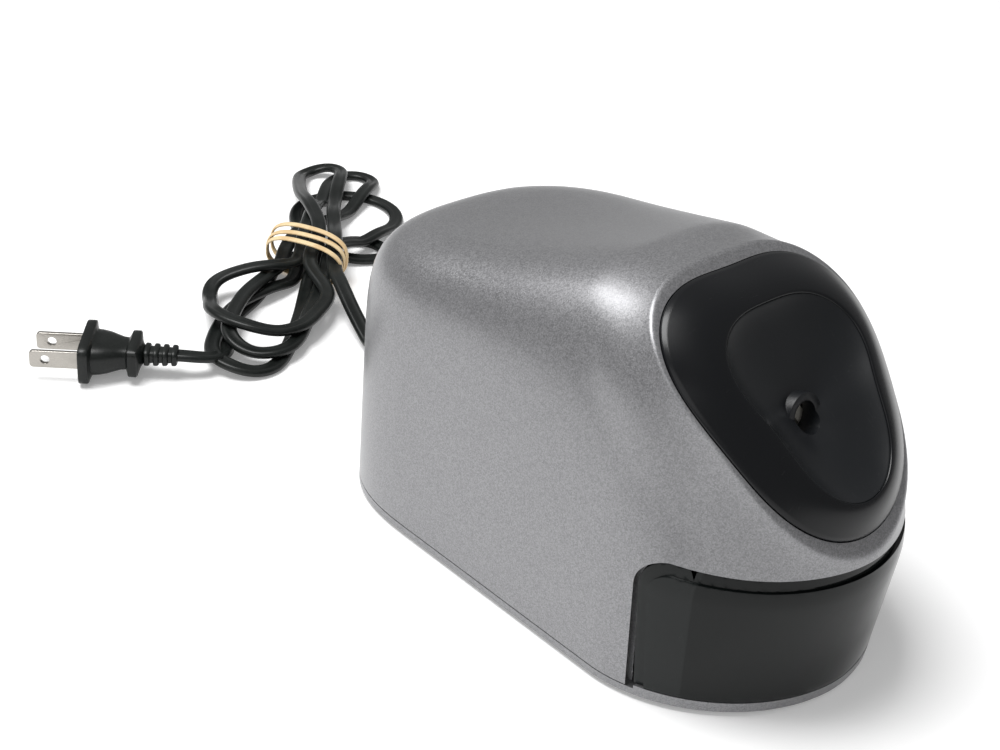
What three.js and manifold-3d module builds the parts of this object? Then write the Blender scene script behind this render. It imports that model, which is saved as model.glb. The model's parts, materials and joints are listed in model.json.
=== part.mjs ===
// Electric pencil sharpener: a moulded housing on a base plate, a tilted bezel with a pencil
// dish, a smoked shavings drawer, a planetary helical cutter driven by a small mains motor
// through a two-stage gear train, two switches, and a flat two-core cord in a banded hank.
//
// Millimetres. +X is the right-hand side seen from the front, the front faces -Y, +Z is up.
// The origin is the centre of the housing's footprint, on the surface that the feet rest on.

import * as THREE from "three";
import { mergeVertices } from "three/addons/utils/BufferGeometryUtils.js";
import Module from "manifold-3d";

const wasm = await Module();
wasm.setup();

// ---------------------------------------------------------------- driving dimensions

const GAP = 0.3; // running or assembly gap between neighbouring pieces
const degrees = Math.PI / 180;

// Housing: a rounded plan (nose in front, bow behind) carried up to a crowned top.
const housing = {
  halfWidth: 50,
  noseDepth: 46.8, // from the end of the straight sides to the nose, at the bottom
  noseFlare: 0.113, // how far the nose leans out for each millimetre of height
  noseFlareTop: 60, // height at which that lean stops
  noseFull: 24.7, // height whose lean gives the overall length
  noseCurve: 1.9, // exponent of the nose's plan curve
  straight: 78.9, // length of the straight sides
  bowDepth: 48,
  bowCurve: 2.7, // exponent of the rear bow's plan curve
  rearTop: 86.6, // crown height at the rear
  frontTop: 113, // crown height that the front would reach without its bezel face
  crownRise: 1.444, // exponent of the rise from rear to front
  riseStart: 12.3, // how far ahead of the rear end the rise begins
  riseLength: 102, // and over what length it reaches frontTop
  shoulderRear: 6.77, // exponent of the rear cross-section, nearly square
  shoulderFront: 2.52, // exponent of the front cross-section, nearly round
  sideRear: 30, // height up to which the rear sides are straight
  sideFront: 35.7,
  wall: 2.4,
  skinScale: 45, // millimetres for one unit of the skin's formula
};

// The bezel's face: a plane leaning back, slightly crowned, on the housing's front.
const bezel = {
  tilt: 49.2 * degrees,
  back: 36.1, // from the nose to the middle of the bezel
  height: 86.06, // height of that middle above the housing's bottom edge
  crown: 0.00212, // fall of the face for each square millimetre from the middle
  outline: [39.3, -4.04, 1.3, -3.56, -0.56], // cosine series of the rim's radius
  dishOutline: [26.2, -4.76, 2.15, -3.38, 0.47],
  dishOffset: -2.5, // how far down the face the dish's outline is centred
  proud: 5.9, // how far the dish's edge stands out of the face
  rimHeight: 0.6,
  seat: 2, // depth of the pocket that the ring sits in
  dishWall: 2.2,
  lipFlare: 0.15, // slope of the lip's outer side
  lipDepth: 16,
  lipBlend: 10,
  faceBlend: 20, // how softly the face runs into the body
  dishCurve: 2.4, // exponent of the dish's climb from the hole to its edge
};

const foot = { radius: 6, height: 2.4, proud: 1.5, side: 34, front: 33, rear: 35 };
const base = { thickness: 2, lipHeight: 3.1 };
const drawer = {
  sideEdge: 39.4, // from the nose back to the visible side edge of the drawer
  edgeLean: 3.2, // how far that edge leans forwards down to the bottom
  top: 44.6,
  corner: 8,
  wall: 2.2,
  rim: 4.4, // thickness of the pull rim along the top edge
  rimDepth: 3,
  trayHalfWidth: 43.4,
  trayDepth: 71.7, // from the nose to the tray's rear wall
  trayHeight: 36,
};

// The cutting head works along the pencil's axis, which dips towards the rear.
const pencil = { bore: 8.8, dip: 16 * degrees, front: 27.6, height: 75.3 };
const cone = 10.8 * degrees; // half angle of the sharpened tip

const ringGear = { teeth: 30, module: 1, width: 5.2, start: 16.3, outer: 18.5 };
const cutter = { radius: 5, teeth: 9, start: 7.8, end: 29, flutes: 8, twist: 1.6 };
const frame = { front: 12, frontThickness: 4, rear: 56.5, rearThickness: 3.5, halfWidth: 30, leg: 62.5 };
const carrier = { front: 22.2, frontThickness: 2.4, rear: 49.5, rearThickness: 3.5, radius: 16 };
const hub = { radius: 5, end: 69 };
const secondStage = { module: 1, pinion: 14, wheel: 28, start: 63, width: 5 };
const firstStage = { pinion: 12, wheel: 48, start: 70.5, width: 3 }; // on the same two axes
const motor = {
  shaft: 2.5,
  rotor: 11.1,
  airGap: 0.5,
  stackStart: 84,
  stack: 18,
  halfWidth: 24,
  above: 18,
  legStart: 26.7,
  legEnd: 33.3,
  coil: 7.6,
  bracket: 3,
  bolt: 2,
};
const fan = { radius: 18, blades: 7, start: 112, width: 6 };
const rotorShaft = { start: 69.6, end: 119 };

// Pencil-operated start switch, below the guide tube; drawer switch behind the tray.
const lever = { pivotX: 14, pivotY: 14, toeX: 3, endX: 23, start: 7, width: 3, bar: 3.5 };
const startSwitch = { halfWidth: 6, top: 18.3, height: 8.7, start: 5.5, depth: 6.2, button: 1.4 };
const drawerSwitch = { x: 38.5, width: 7, depth: 13, height: 12, z: 12, plunger: 1.5 };

// Cord: flat two-core lead, in a banded hank on the surface behind the housing.
const cord = {
  width: 5.8,
  thickness: 2.9,
  exitX: 10,
  exitHeight: 14,
  leadStart: 118.5,
  hankCentre: [34, 205.7],
  hankAngle: 41.7 * degrees,
  hankLength: 182,
  hankWidth: 58,
  hankWaist: 40,
  hankHeight: 22,
  hankBottom: 2.2,
  bandPlace: -9,
};
const leadPoints = [
  [10, 118.5, 15.5],
  [10.1, 121.5, 14.6],
  [10.4, 126, 11.4],
  [11.2, 131.5, 6.6],
  [12.6, 137.5, 4],
  [14.8, 145, 3.6],
  [18, 155, 3.6],
];
const tailPoints = [
  [-52, 161.1, 7.6],
  [-48, 157.8, 7.3],
  [-43.5, 156.2, 6.4],
  [-38, 157.5, 5.2],
];
const plug = { position: [-77.5, 182.4, 7.6], heading: -40 * degrees, ribs: 4, ribPitch: 3.1 };
const blade = {
  width: 6.35,
  thickness: 1.5,
  length: 17,
  spacing: 12.7,
  seat: 6,
  holePlace: 11.7,
  hole: 1.55,
};

// ---------------------------------------------------------------- derived places

const noseTip = housing.noseDepth + housing.noseFlare * housing.noseFull;
const bodyLength = noseTip + housing.straight + housing.bowDepth;
const sideStart = -bodyLength / 2 + noseTip; // where the straight sides begin, at the front
const sideEnd = sideStart + housing.straight;
const noseY = -bodyLength / 2;
const rearY = bodyLength / 2;
const bezelY = noseY + bezel.back;
const drawerEdgeY = noseY + drawer.sideEdge;
const trayBackY = noseY + drawer.trayDepth;
const holeY = noseY + pencil.front;
const centreDistance = (secondStage.module * (secondStage.pinion + secondStage.wheel)) / 2;
const firstModule = (2 * centreDistance) / (firstStage.pinion + firstStage.wheel);
const cutterOffset = (ringGear.module * (ringGear.teeth - cutter.teeth)) / 2;
const cutterPlane = ringGear.start + ringGear.width / 2; // where the cutter's pinion is centred

// ---------------------------------------------------------------- solids and booleans

function solid(geometry) {
  const bare = geometry.clone();
  bare.deleteAttribute("normal");
  bare.deleteAttribute("uv");
  const merged = mergeVertices(bare, 1e-4);
  const vertProperties = new Float32Array(merged.attributes.position.array);
  const triVerts = new Uint32Array(merged.index.array);
  return new wasm.Manifold(new wasm.Mesh({ numProp: 3, vertProperties, triVerts }));
}

function geometryOf(manifold) {
  const made = manifold.getMesh();
  const geometry = new THREE.BufferGeometry();
  geometry.setAttribute("position", new THREE.BufferAttribute(made.vertProperties, 3));
  geometry.setIndex(new THREE.BufferAttribute(made.triVerts, 1));
  return geometry;
}

function moved(geometry, x, y, z) {
  return geometry.translate(x, y, z);
}

// A box from its lowest and highest corners.
function box(x0, y0, z0, x1, y1, z1) {
  const geometry = new THREE.BoxGeometry(x1 - x0, y1 - y0, z1 - z0);
  return solid(moved(geometry, (x0 + x1) / 2, (y0 + y1) / 2, (z0 + z1) / 2));
}

// A cylinder along Z from z0 to z1, centred on x, y.
function rod(radius, z0, z1, x = 0, y = 0, sides = 24, topRadius = radius) {
  const geometry = new THREE.CylinderGeometry(topRadius, radius, z1 - z0, sides);
  return solid(moved(geometry.rotateX(Math.PI / 2), x, y, (z0 + z1) / 2));
}

function pipe(outer, inner, z0, z1, x = 0, y = 0, sides = 24) {
  return rod(outer, z0, z1, x, y, sides).subtract(rod(inner, z0 - 1, z1 + 1, x, y, sides));
}

// A straight bar with round ends between two points of the XY plane.
function bar(ax, ay, bx, by, width, z0, z1) {
  const angle = Math.atan2(by - ay, bx - ax);
  const r = width / 2;
  const shape = new THREE.Shape();
  shape.absarc(bx, by, r, angle - Math.PI / 2, angle + Math.PI / 2);
  shape.absarc(ax, ay, r, angle + Math.PI / 2, angle + (3 * Math.PI) / 2);
  return prism(shape, z0, z1, 6);
}

function prism(shape, z0, z1, curveSegments = 12) {
  const options = { depth: z1 - z0, bevelEnabled: false, curveSegments };
  return solid(moved(new THREE.ExtrudeGeometry(shape, options), 0, 0, z0));
}

// The same along X: the outline's x is the object's Y, its y is Z.
function sidePrism(shape, x0, x1, curveSegments = 12) {
  const options = { depth: x1 - x0, bevelEnabled: false, curveSegments };
  const geometry = new THREE.ExtrudeGeometry(shape, options);
  const turn = new THREE.Matrix4().set(0, 0, 1, x0, 1, 0, 0, 0, 0, 1, 0, 0, 0, 0, 0, 1);
  return solid(geometry.applyMatrix4(turn));
}

function outlineShape(points) {
  return new THREE.Shape(points.map(([x, y]) => new THREE.Vector2(x, y)));
}

// A closed surface from rings of points: each ring is joined to the next, and the first and
// last rings are closed by a fan round their middle, or joined to each other.
function loft(rings, closed = false) {
  const count = rings[0].length;
  const position = rings.flat(2);
  const index = [];
  const pairs = closed ? rings.length : rings.length - 1;
  for (let i = 0; i < pairs; i++) {
    const a = i * count;
    const b = ((i + 1) % rings.length) * count;
    for (let j = 0; j < count; j++) {
      const k = (j + 1) % count;
      index.push(a + j, a + k, b + k, a + j, b + k, b + j);
    }
  }
  if (!closed) {
    for (const [ring, flip] of [[0, true], [rings.length - 1, false]]) {
      const middle = [0, 1, 2].map((c) => rings[ring].reduce((s, p) => s + p[c], 0) / count);
      const centre = position.length / 3;
      position.push(...middle);
      for (let j = 0; j < count; j++) {
        const [p, q] = [ring * count + j, ring * count + ((j + 1) % count)];
        index.push(centre, flip ? q : p, flip ? p : q);
      }
    }
  }
  const geometry = new THREE.BufferGeometry();
  geometry.setAttribute("position", new THREE.Float32BufferAttribute(position, 3));
  geometry.setIndex(index);
  const made = solid(geometry);
  if (made.volume() > 0) return made;
  geometry.setIndex(index.reverse()); // the rings ran the other way round
  return solid(geometry);
}

// Flat gear along Z with straight-sided teeth, thinned for backlash. A tooth stands at angle
// `turn`. An inner gear has its teeth pointing inwards from a ring of the given outer radius.
function gear(teeth, module, z0, z1, { bore = 0, turn = 0, outer = 0 } = {}) {
  const pitch = (module * teeth) / 2;
  const inward = outer > 0 ? -1 : 1;
  const tip = pitch + inward * 0.8 * module;
  const root = pitch - inward * 1.25 * module;
  const half = Math.PI / (2 * teeth);
  const corners = [[-1.5, root], [-0.4, tip], [0.4, tip], [1.5, root]];
  const points = [];
  for (let i = 0; i < teeth; i++) {
    for (const [side, radius] of corners) {
      const angle = turn + half * (4 * i + side);
      points.push(new THREE.Vector2(radius * Math.cos(angle), radius * Math.sin(angle)));
    }
  }
  const shape = outer > 0 ? new THREE.Shape().absarc(0, 0, outer, 0, 2 * Math.PI) : new THREE.Shape(points);
  if (outer > 0) shape.holes.push(new THREE.Path(points));
  else if (bore > 0) shape.holes.push(new THREE.Path().absarc(0, 0, bore, 0, 2 * Math.PI, true));
  return prism(shape, z0, z1, 24);
}

// ---------------------------------------------------------------- the housing's surface

const bezelNormal = [0, -Math.cos(bezel.tilt), Math.sin(bezel.tilt)];
const bezelUp = [0, Math.sin(bezel.tilt), Math.cos(bezel.tilt)];

function series(coefficients, angle) {
  return coefficients.reduce((sum, c, k) => sum + c * Math.cos(k * angle), 0);
}

function smoothMax(a, b, blend) {
  const h = Math.min(Math.max(0.5 + (0.5 * (a - b)) / blend, 0), 1);
  return b * (1 - h) + a * h + blend * h * (1 - h);
}

function smoothMin(a, b, blend) {
  return -smoothMax(-a, -b, blend);
}

// The point's height out of the bezel's plane, and its place across and up that plane.
function inBezel([x, y, z]) {
  const dy = y - bezelY;
  const dz = z - bezel.height;
  return [x, dy * bezelUp[1] + dz * bezelUp[2], dy * bezelNormal[1] + dz * bezelNormal[2]];
}

function fromBezel([u, v, n]) {
  const y = bezelY + v * bezelUp[1] + n * bezelNormal[1];
  return [u, y, bezel.height + v * bezelUp[2] + n * bezelNormal[2]];
}

// How far a point lies outside the housing's skin (negative inside): a superellipse of plan
// distance and height, shaved by the bezel's plane and joined to the lip round the bezel.
function skin(point) {
  const [x, y, z] = point;
  const across = Math.abs(x) / housing.halfWidth;
  const nose = housing.noseDepth + housing.noseFlare * Math.min(Math.max(z, 0), housing.noseFlareTop);
  const ahead = Math.max(0, sideStart - y) / nose;
  const behind = Math.max(0, y - sideEnd) / housing.bowDepth;
  const curve = y < 0 ? housing.noseCurve : housing.bowCurve;
  const plan = (across ** curve + Math.max(ahead, behind) ** curve) ** (1 / curve);
  const reach = Math.max((rearY - housing.riseStart - y) / housing.riseLength, 0);
  const top = housing.rearTop + (housing.frontTop - housing.rearTop) * reach ** housing.crownRise;
  const blend = Math.min(reach, 1.3);
  const power = housing.shoulderRear + (housing.shoulderFront - housing.shoulderRear) * blend;
  const side = housing.sideRear + (housing.sideFront - housing.sideRear) * blend;
  const rise = Math.max(0, z - side) / (top - side);
  const body = ((plan ** power + rise ** power) ** (1 / power) - 1) * housing.skinScale;
  const [u, v, n] = inBezel(point);
  const face = smoothMax(body, n - 1, bezel.faceBlend);
  const radius = Math.hypot(u, v);
  const flare = bezel.lipFlare * Math.max(0, -n);
  const lip = 0.8 * (radius - series(bezel.outline, Math.atan2(u, v)) - flare);
  const whole = smoothMin(face, smoothMax(lip, -n - bezel.lipDepth, bezel.lipBlend), bezel.lipBlend);
  return Math.max(whole, -z - 10, n - 8);
}

// The skin's point in a given direction from a point behind the bezel, moved in by `inset`.
const middle = fromBezel([0, 0, -60]);
function skinPoint(direction, inset) {
  let [near, far] = [10, 180];
  const at = (t) => middle.map((m, k) => m + direction[k] * t);
  for (let i = 0; i < 40; i++) {
    const t = (near + far) / 2;
    if (skin(at(t)) > 0) far = t;
    else near = t;
  }
  const point = at(near);
  if (!inset) return point;
  const slope = [0, 1, 2].map((k) => {
    const [ahead, behind] = [[...point], [...point]];
    ahead[k] += 0.2;
    behind[k] -= 0.2;
    return skin(ahead) - skin(behind);
  });
  const size = Math.hypot(...slope);
  return point.map((p, k) => p - (slope[k] / size) * inset);
}

// The housing's whole skin as one closed solid, reaching below its bottom edge. Its rings lie
// round the bezel's axis and stand closest together at the lip.
function skinSolid(inset, around = 48, step = 8) {
  const tilts = [step]; // degrees from the bezel's axis
  while (tilts.at(-1) < 172) {
    const last = tilts.at(-1);
    tilts.push(last + (last > 26 && last < 47 ? step * 0.3 : step));
  }
  const rings = tilts.map((tilt) =>
    Array.from({ length: around }, (_, j) => {
      const turn = (2 * Math.PI * j) / around;
      const [out, side, up] = [
        Math.cos(tilt * degrees),
        Math.sin(tilt * degrees) * Math.cos(turn),
        Math.sin(tilt * degrees) * Math.sin(turn),
      ];
      const direction = [0, 1, 2].map((k) => out * bezelNormal[k] + up * bezelUp[k]);
      direction[0] += side;
      return skinPoint(direction, inset);
    }),
  );
  return loft(rings);
}

const outerSkin = skinSolid(0);
const innerSkin = skinSolid(housing.wall, 36, 10);

// A solid in the bezel's frame between two heights, inside an outline of the face.
function bezelSolid(outline, low, high, rings = 4, around = 48) {
  const surface = (height, t, j) => {
    const angle = (2 * Math.PI * j) / around;
    const [u, v] = outline(angle);
    return fromBezel([u * t, v * t, height(u * t, v * t, t)]);
  };
  const ringAt = (height, t) => Array.from({ length: around }, (_, j) => surface(height, t, -j));
  const stack = [];
  for (let i = 1; i <= rings; i++) stack.push(ringAt(high, i / rings));
  for (let i = rings; i >= 1; i--) stack.push(ringAt(low, i / rings));
  return loft(stack);
}

const crownFall = (u, v) => -bezel.crown * (v * v + 0.5 * u * u);
const rimAt = (inset) => (angle) => {
  const r = series(bezel.outline, angle) - inset;
  return [r * Math.sin(angle), r * Math.cos(angle)];
};
const dishAt = (inset) => (angle) => {
  const r = series(bezel.dishOutline, angle) - inset;
  return [r * Math.sin(angle), r * Math.cos(angle) + bezel.dishOffset];
};
const onFace = (height) => (u, v) => crownFall(u, v) + height;

// ---------------------------------------------------------------- scene helpers

const material = (color, roughness, metalness = 0, opacity = 1) => ({ color, roughness, metalness, opacity });
const finish = {
  silver: material(0x9b9ca0, 0.42, 0.55),
  gloss: material(0x0d0f12, 0.16),
  matteBlack: material(0x1c1f22, 0.5),
  smoke: material(0x15191c, 0.12, 0, 0.55),
  rubber: material(0x111111, 0.8),
  grey: material(0x6b6e72, 0.6),
  white: material(0xd8d5cc, 0.55),
  steel: material(0xb4b6b8, 0.35, 1),
  toolSteel: material(0x7c7f83, 0.3, 1),
  laminations: material(0x6a6e72, 0.5, 0.8),
  copper: material(0xa4512a, 0.4, 0.8),
  brass: material(0xb5924a, 0.35, 1),
  band: material(0xc9a578, 0.7),
  red: material(0x9c2f25, 0.5),
};

function add(group, name, manifold, look) {
  const { color, roughness, metalness, opacity } = look;
  const transparent = opacity < 1;
  const paint = new THREE.MeshStandardMaterial({ color, roughness, metalness, opacity, transparent });
  const mesh = new THREE.Mesh(geometryOf(manifold), paint);
  mesh.name = name;
  group.add(mesh);
  return mesh;
}

const sharpener = new THREE.Group();
const body = new THREE.Group(); // measured from the housing's bottom edge
body.position.z = foot.proud;
sharpener.add(body);
const head = new THREE.Group(); // Z along the pencil's way in, Y downwards, X to the right
head.position.set(0, holeY, pencil.height);
head.rotation.x = -(Math.PI / 2 + pencil.dip);
body.add(head);
head.updateMatrix();
const headToBody = head.matrix.clone();
const outOfHead = (manifold) => solid(geometryOf(manifold).applyMatrix4(headToBody));

// ---------------------------------------------------------------- drawer outline

// The drawer's side outline, grown or shrunk, and carried forwards past the nose.
function drawerOutline(grow, low, top) {
  const edge = drawerEdgeY + grow;
  const corner = drawer.corner;
  const shape = new THREE.Shape();
  shape.moveTo(noseY - 20, low);
  shape.lineTo(edge - drawer.edgeLean, low);
  shape.lineTo(edge - 0.6, top - corner);
  shape.absarc(edge - 0.6 - corner, top - corner, corner, 0, Math.PI / 2);
  shape.lineTo(noseY - 20, top);
  return shape;
}

const wide = housing.halfWidth + 20;
const shellBottom = base.thickness + GAP;
const drawerBottom = base.lipHeight + GAP;

// ---------------------------------------------------------------- housing shell

const screw = {
  middle: 79, // how far the front pair stands from the rear end
  rear: 18,
  frontSide: 38,
  rearSide: 34,
  shank: 1.6,
  head: 3.4,
  length: 12,
  boss: 4.4,
};
const screwPlaces = [
  [-screw.frontSide, rearY - screw.middle],
  [screw.frontSide, rearY - screw.middle],
  [-screw.rearSide, rearY - screw.rear],
  [screw.rearSide, rearY - screw.rear],
];
const reliefPlace = [cord.exitX, rearY, cord.exitHeight];

function housingShell() {
  const tall = housing.frontTop + 20;
  const faceCut = bezelSolid(rimAt(-40), onFace(0), () => 90);
  const insideCut = bezelSolid(rimAt(-40), onFace(-bezel.seat - housing.wall), () => 90);
  const pocket = bezelSolid(rimAt(0), onFace(-bezel.seat), () => 20);
  const opening = bezelSolid(dishAt(3), () => -20, () => 20);
  const hollow = innerSkin.subtract(insideCut);
  const above = box(-wide, noseY - 20, shellBottom, wide, rearY + 20, tall);
  let shell = outerSkin.subtract(faceCut).subtract(hollow).intersect(above);
  shell = shell.subtract(pocket).subtract(opening);
  shell = shell.subtract(sidePrism(drawerOutline(GAP, -5, drawer.top + GAP), -wide, wide));
  for (const [x, y] of screwPlaces) {
    const side = Math.sign(x);
    const reach = housing.halfWidth - 1;
    const column = rod(screw.boss, shellBottom, 24, x, y);
    const rib = box(Math.min(x, side * reach), y - 1.2, shellBottom, Math.max(x, side * reach), y + 1.2, 24);
    shell = shell.add(column.add(rib).intersect(outerSkin));
  }
  for (const [x, y] of screwPlaces) shell = shell.subtract(rod(screw.shank + GAP, 0, 18, x, y, 16));
  const [rx, ry, rz] = reliefPlace;
  return shell.subtract(box(rx - 4.5 - GAP, ry - 10, rz - 4.5 - GAP, rx + 4.5 + GAP, ry + 5, rz + 4.5 + GAP));
}

// ---------------------------------------------------------------- base, feet and screws

const footPlaces = {
  left_front: [-foot.side, noseY + foot.front],
  right_front: [foot.side, noseY + foot.front],
  left_rear: [-foot.side, rearY - foot.rear],
  right_rear: [foot.side, rearY - foot.rear],
};
const legY = holeY + frame.leg;
const frameScrewPlaces = [[-26, legY], [26, legY]];

function basePlate() {
  const slab = outerSkin.intersect(box(-wide, noseY - 20, 0, wide, rearY + 20, base.thickness));
  const lipBack = drawerEdgeY - drawer.edgeLean - 1;
  const lip = outerSkin.intersect(box(-wide, noseY - 20, 0, wide, lipBack, base.lipHeight));
  let plate = slab.add(lip);
  const room = drawer.trayHalfWidth;
  plate = plate.subtract(box(-room, noseY, base.thickness, room, lipBack + 1, 9).intersect(innerSkin));
  const recess = foot.height - foot.proud;
  for (const [x, y] of Object.values(footPlaces)) {
    plate = plate.subtract(rod(foot.radius + GAP, -1, recess + GAP, x, y));
  }
  for (const [x, y] of screwPlaces.concat(frameScrewPlaces)) {
    plate = plate.subtract(rod(screw.shank + GAP, -1, 5, x, y, 16));
    plate = plate.subtract(rod(screw.head + GAP, -1, 1, x, y, 20));
  }
  for (let i = -3; i <= 3; i++) {
    const y = holeY + 91 + i * 5;
    plate = plate.subtract(box(-16, y, -1, 16, y + 2, 5));
  }
  return plate;
}

function machineScrew(x, y) {
  const headTop = 1 - GAP;
  return rod(screw.head, -1, headTop, x, y, 20).add(rod(screw.shank, headTop - 0.2, screw.length, x, y, 16));
}

// ---------------------------------------------------------------- drawer

function shavingsDrawer() {
  const [half, back] = [drawer.trayHalfWidth, trayBackY];
  const outline = drawerOutline(-GAP, drawerBottom, drawer.top);
  const front = outerSkin.intersect(sidePrism(outline, -wide, wide));
  const tray = box(-half, drawerEdgeY - 6, drawerBottom, half, back, drawer.trayHeight);
  const floor = drawerBottom + drawer.wall;
  const roomFront = skinSolid(drawer.wall + 0.1)
    .intersect(box(-wide, noseY - 20, floor, wide, drawerEdgeY - 9, 90));
  const narrow = half - drawer.wall;
  const roomBack = box(-narrow, drawerEdgeY - 14, floor, narrow, back - drawer.wall, 90);
  const rimOutline = drawerOutline(-GAP, drawer.top - drawer.rimDepth, drawer.top + 9);
  const behindRim = skinSolid(drawer.rim).intersect(box(-wide, -200, 0, wide, 200, 90));
  const rim = front.intersect(sidePrism(rimOutline, -wide, wide)).subtract(behindRim);
  const closing = box(-wide, drawerEdgeY - 12, drawerBottom, wide, drawerEdgeY - 6, drawer.trayHeight);
  const sides = front.intersect(closing);
  return front.add(tray).subtract(roomFront).add(sides).subtract(roomBack).add(rim.subtract(roomBack));
}

// ---------------------------------------------------------------- bezel ring and dish

function bezelRing() {
  const around = 48;
  const profile = [
    [0, -bezel.seat + GAP],
    [0, bezel.rimHeight],
    [0.08, 1.9],
    [0.28, 3.8],
    [0.55, 5.1],
    [0.82, 5.8],
    [0.96, bezel.proud],
    [1, bezel.proud - 0.4],
    [1, -bezel.seat + GAP],
  ];
  const rings = [];
  for (let j = 0; j < around; j++) {
    const angle = (-2 * Math.PI * j) / around;
    const [outer, inner] = [rimAt(GAP)(angle), dishAt(0)(angle)];
    rings.push(
      profile.map(([s, height]) => {
        const [u, v] = [0, 1].map((k) => outer[k] * (1 - s) + inner[k] * s);
        return fromBezel([u, v, height + crownFall(u, v)]);
      }),
    );
  }
  return loft(rings.reverse(), true);
}

function pencilDish() {
  const hole = inBezel([0, holeY, pencil.height]);
  const around = 36;
  const stations = [0.14, 0.35, 0.6, 0.8, 0.93, 1];
  const floorHeight = hole[2];
  const edgeHeight = bezel.proud - 0.7;
  const surface = (t, drop, angle) => {
    const [u, v] = dishAt(GAP)(angle);
    const at = [u * t, hole[1] + (v - hole[1]) * t];
    const climb = t ** bezel.dishCurve;
    const height = floorHeight + (edgeHeight + crownFall(u, v) - floorHeight) * climb - drop;
    return fromBezel([at[0], at[1], height]);
  };
  const ring = (t, drop) =>
    Array.from({ length: around }, (_, j) => surface(t, drop, (-2 * Math.PI * j) / around));
  const top = stations.map((t) => ring(t, 0));
  const under = stations.map((t) => ring(t, bezel.dishWall)).reverse();
  const bowl = loft([...top, ...under]);
  const neck = outOfHead(rod(pencil.bore / 2 + 2.2, 1.5, 6));
  return bowl.add(neck).subtract(outOfHead(rod(pencil.bore / 2, -20, 12)));
}

add(body, "housing_shell", housingShell(), finish.silver);
add(body, "base_plate", basePlate(), finish.silver);
add(body, "bezel_ring", bezelRing(), finish.gloss);
add(body, "pencil_dish", pencilDish(), finish.matteBlack);
add(body, "shavings_drawer", shavingsDrawer(), finish.smoke);
for (const [place, [x, y]] of Object.entries(footPlaces)) {
  const pad = rod(foot.radius, -foot.proud, foot.height - foot.proud, x, y, 28);
  add(body, "foot_" + place, pad, finish.rubber);
}
screwPlaces.forEach(([x, y], i) => add(body, "base_screw_" + (i + 1), machineScrew(x, y), finish.steel));
frameScrewPlaces.forEach(([x, y], i) => {
  add(body, "frame_screw_" + (i + 1), machineScrew(x, y), finish.steel);
});

// ---------------------------------------------------------------- cutting head

function mechanismFrame() {
  const guideSeat = 6.5 + GAP;
  const frontPlate = box(-26, -12, frame.front, 26, 20, frame.front + frame.frontThickness)
    .subtract(rod(guideSeat, 0, 30, 0, 0, 28))
    .subtract(rod(1.5 + GAP, 0, 30, lever.pivotX, lever.pivotY, 16));
  const [side, below, rearEnd] = [frame.halfWidth, centreDistance + 6, frame.rear + frame.rearThickness];
  const rearPlate = box(-side, -18, frame.rear, side, below, rearEnd)
    .subtract(rod(8 + GAP, 40, 70, 0, 0, 28))
    .subtract(rod(2 + GAP, 40, 70, 0, centreDistance, 16));
  let made = frontPlate.add(rearPlate);
  for (const [low, high] of [[-26, -21.5], [21.5, 26]]) {
    made = made.add(box(low, -5, frame.front, high, 5, rearEnd));
  }
  made = outOfHead(made);
  const footTop = 8;
  const legOutline = [[-6, shellBottom], [6, shellBottom], [3, 50], [-10, 50], [-11, 38]]
    .map(([y, z]) => [legY + y, z]);
  for (const [x, y] of frameScrewPlaces) {
    const leg = sidePrism(outlineShape(legOutline), x - 4, x + 4);
    const sole = box(x - 7, y - 7, shellBottom, x + 7, y + 7, footTop);
    made = made.add(leg).add(sole).subtract(rod(screw.shank + GAP, 0, 18, x, y, 16));
  }
  return made;
}

function guideTube() {
  const bore = pencil.bore / 2;
  return pipe(9.5, bore, 11 - GAP, frame.front - GAP, 0, 0, 28).add(pipe(6.5, bore, 11, 16.2, 0, 0, 28));
}

const cutterDirection = [0, Math.sin(cone), Math.cos(cone)];
function onCutter(manifold) {
  const turn = new THREE.Matrix4().makeRotationX(-cone);
  turn.setPosition(0, -cutterOffset, cutterPlane);
  return solid(geometryOf(manifold).applyMatrix4(turn));
}

function cutterCarrier() {
  const frontEnd = carrier.front + carrier.frontThickness;
  const rearEnd = carrier.rear + carrier.rearThickness;
  const strut = new THREE.Shape();
  strut.absarc(0, 0, carrier.radius - 0.5, 35 * degrees, 145 * degrees);
  strut.absarc(0, 0, carrier.radius - 4, 145 * degrees, 35 * degrees, true);
  return rod(carrier.radius, carrier.front, frontEnd, 0, 0, 40)
    .subtract(rod(pencil.bore / 2 + 0.4, 0, 40))
    .add(rod(carrier.radius - 0.5, carrier.rear, rearEnd, 0, 0, 36))
    .add(prism(strut, frontEnd - 0.5, carrier.rear + 0.5, 10))
    .subtract(onCutter(rod(2 + GAP, -10, 34.6, 0, 0, 16)))
    .add(rod(hub.radius, rearEnd - 0.2, hub.end));
}

// The helical cutter: a toothed section turned steadily along its axis.
function helicalCutter() {
  const steps = 10;
  const rings = [];
  for (let i = 0; i <= steps; i++) {
    const z = cutter.start + ((cutter.end - cutter.start) * i) / steps;
    const ring = [];
    for (let j = 0; j < cutter.flutes; j++) {
      for (const [shift, radius] of [[0, cutter.radius], [0.55, cutter.radius - 1.1]]) {
        const angle = ((j + shift) * 2 * Math.PI) / cutter.flutes + (cutter.twist * i) / steps;
        ring.push([radius * Math.cos(angle), radius * Math.sin(angle), z]);
      }
    }
    rings.push(ring);
  }
  return loft(rings).subtract(rod(2 + GAP, -10, 50, 0, 0, 16));
}

const outward = -Math.PI / 2; // the cutter lies above the pencil at rest
const inStep = Math.PI / 2; // and the idler below
const shaftBush = (start, end, outer) => pipe(outer, motor.shaft + GAP, start, end, 0, 0, 20);

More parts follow.
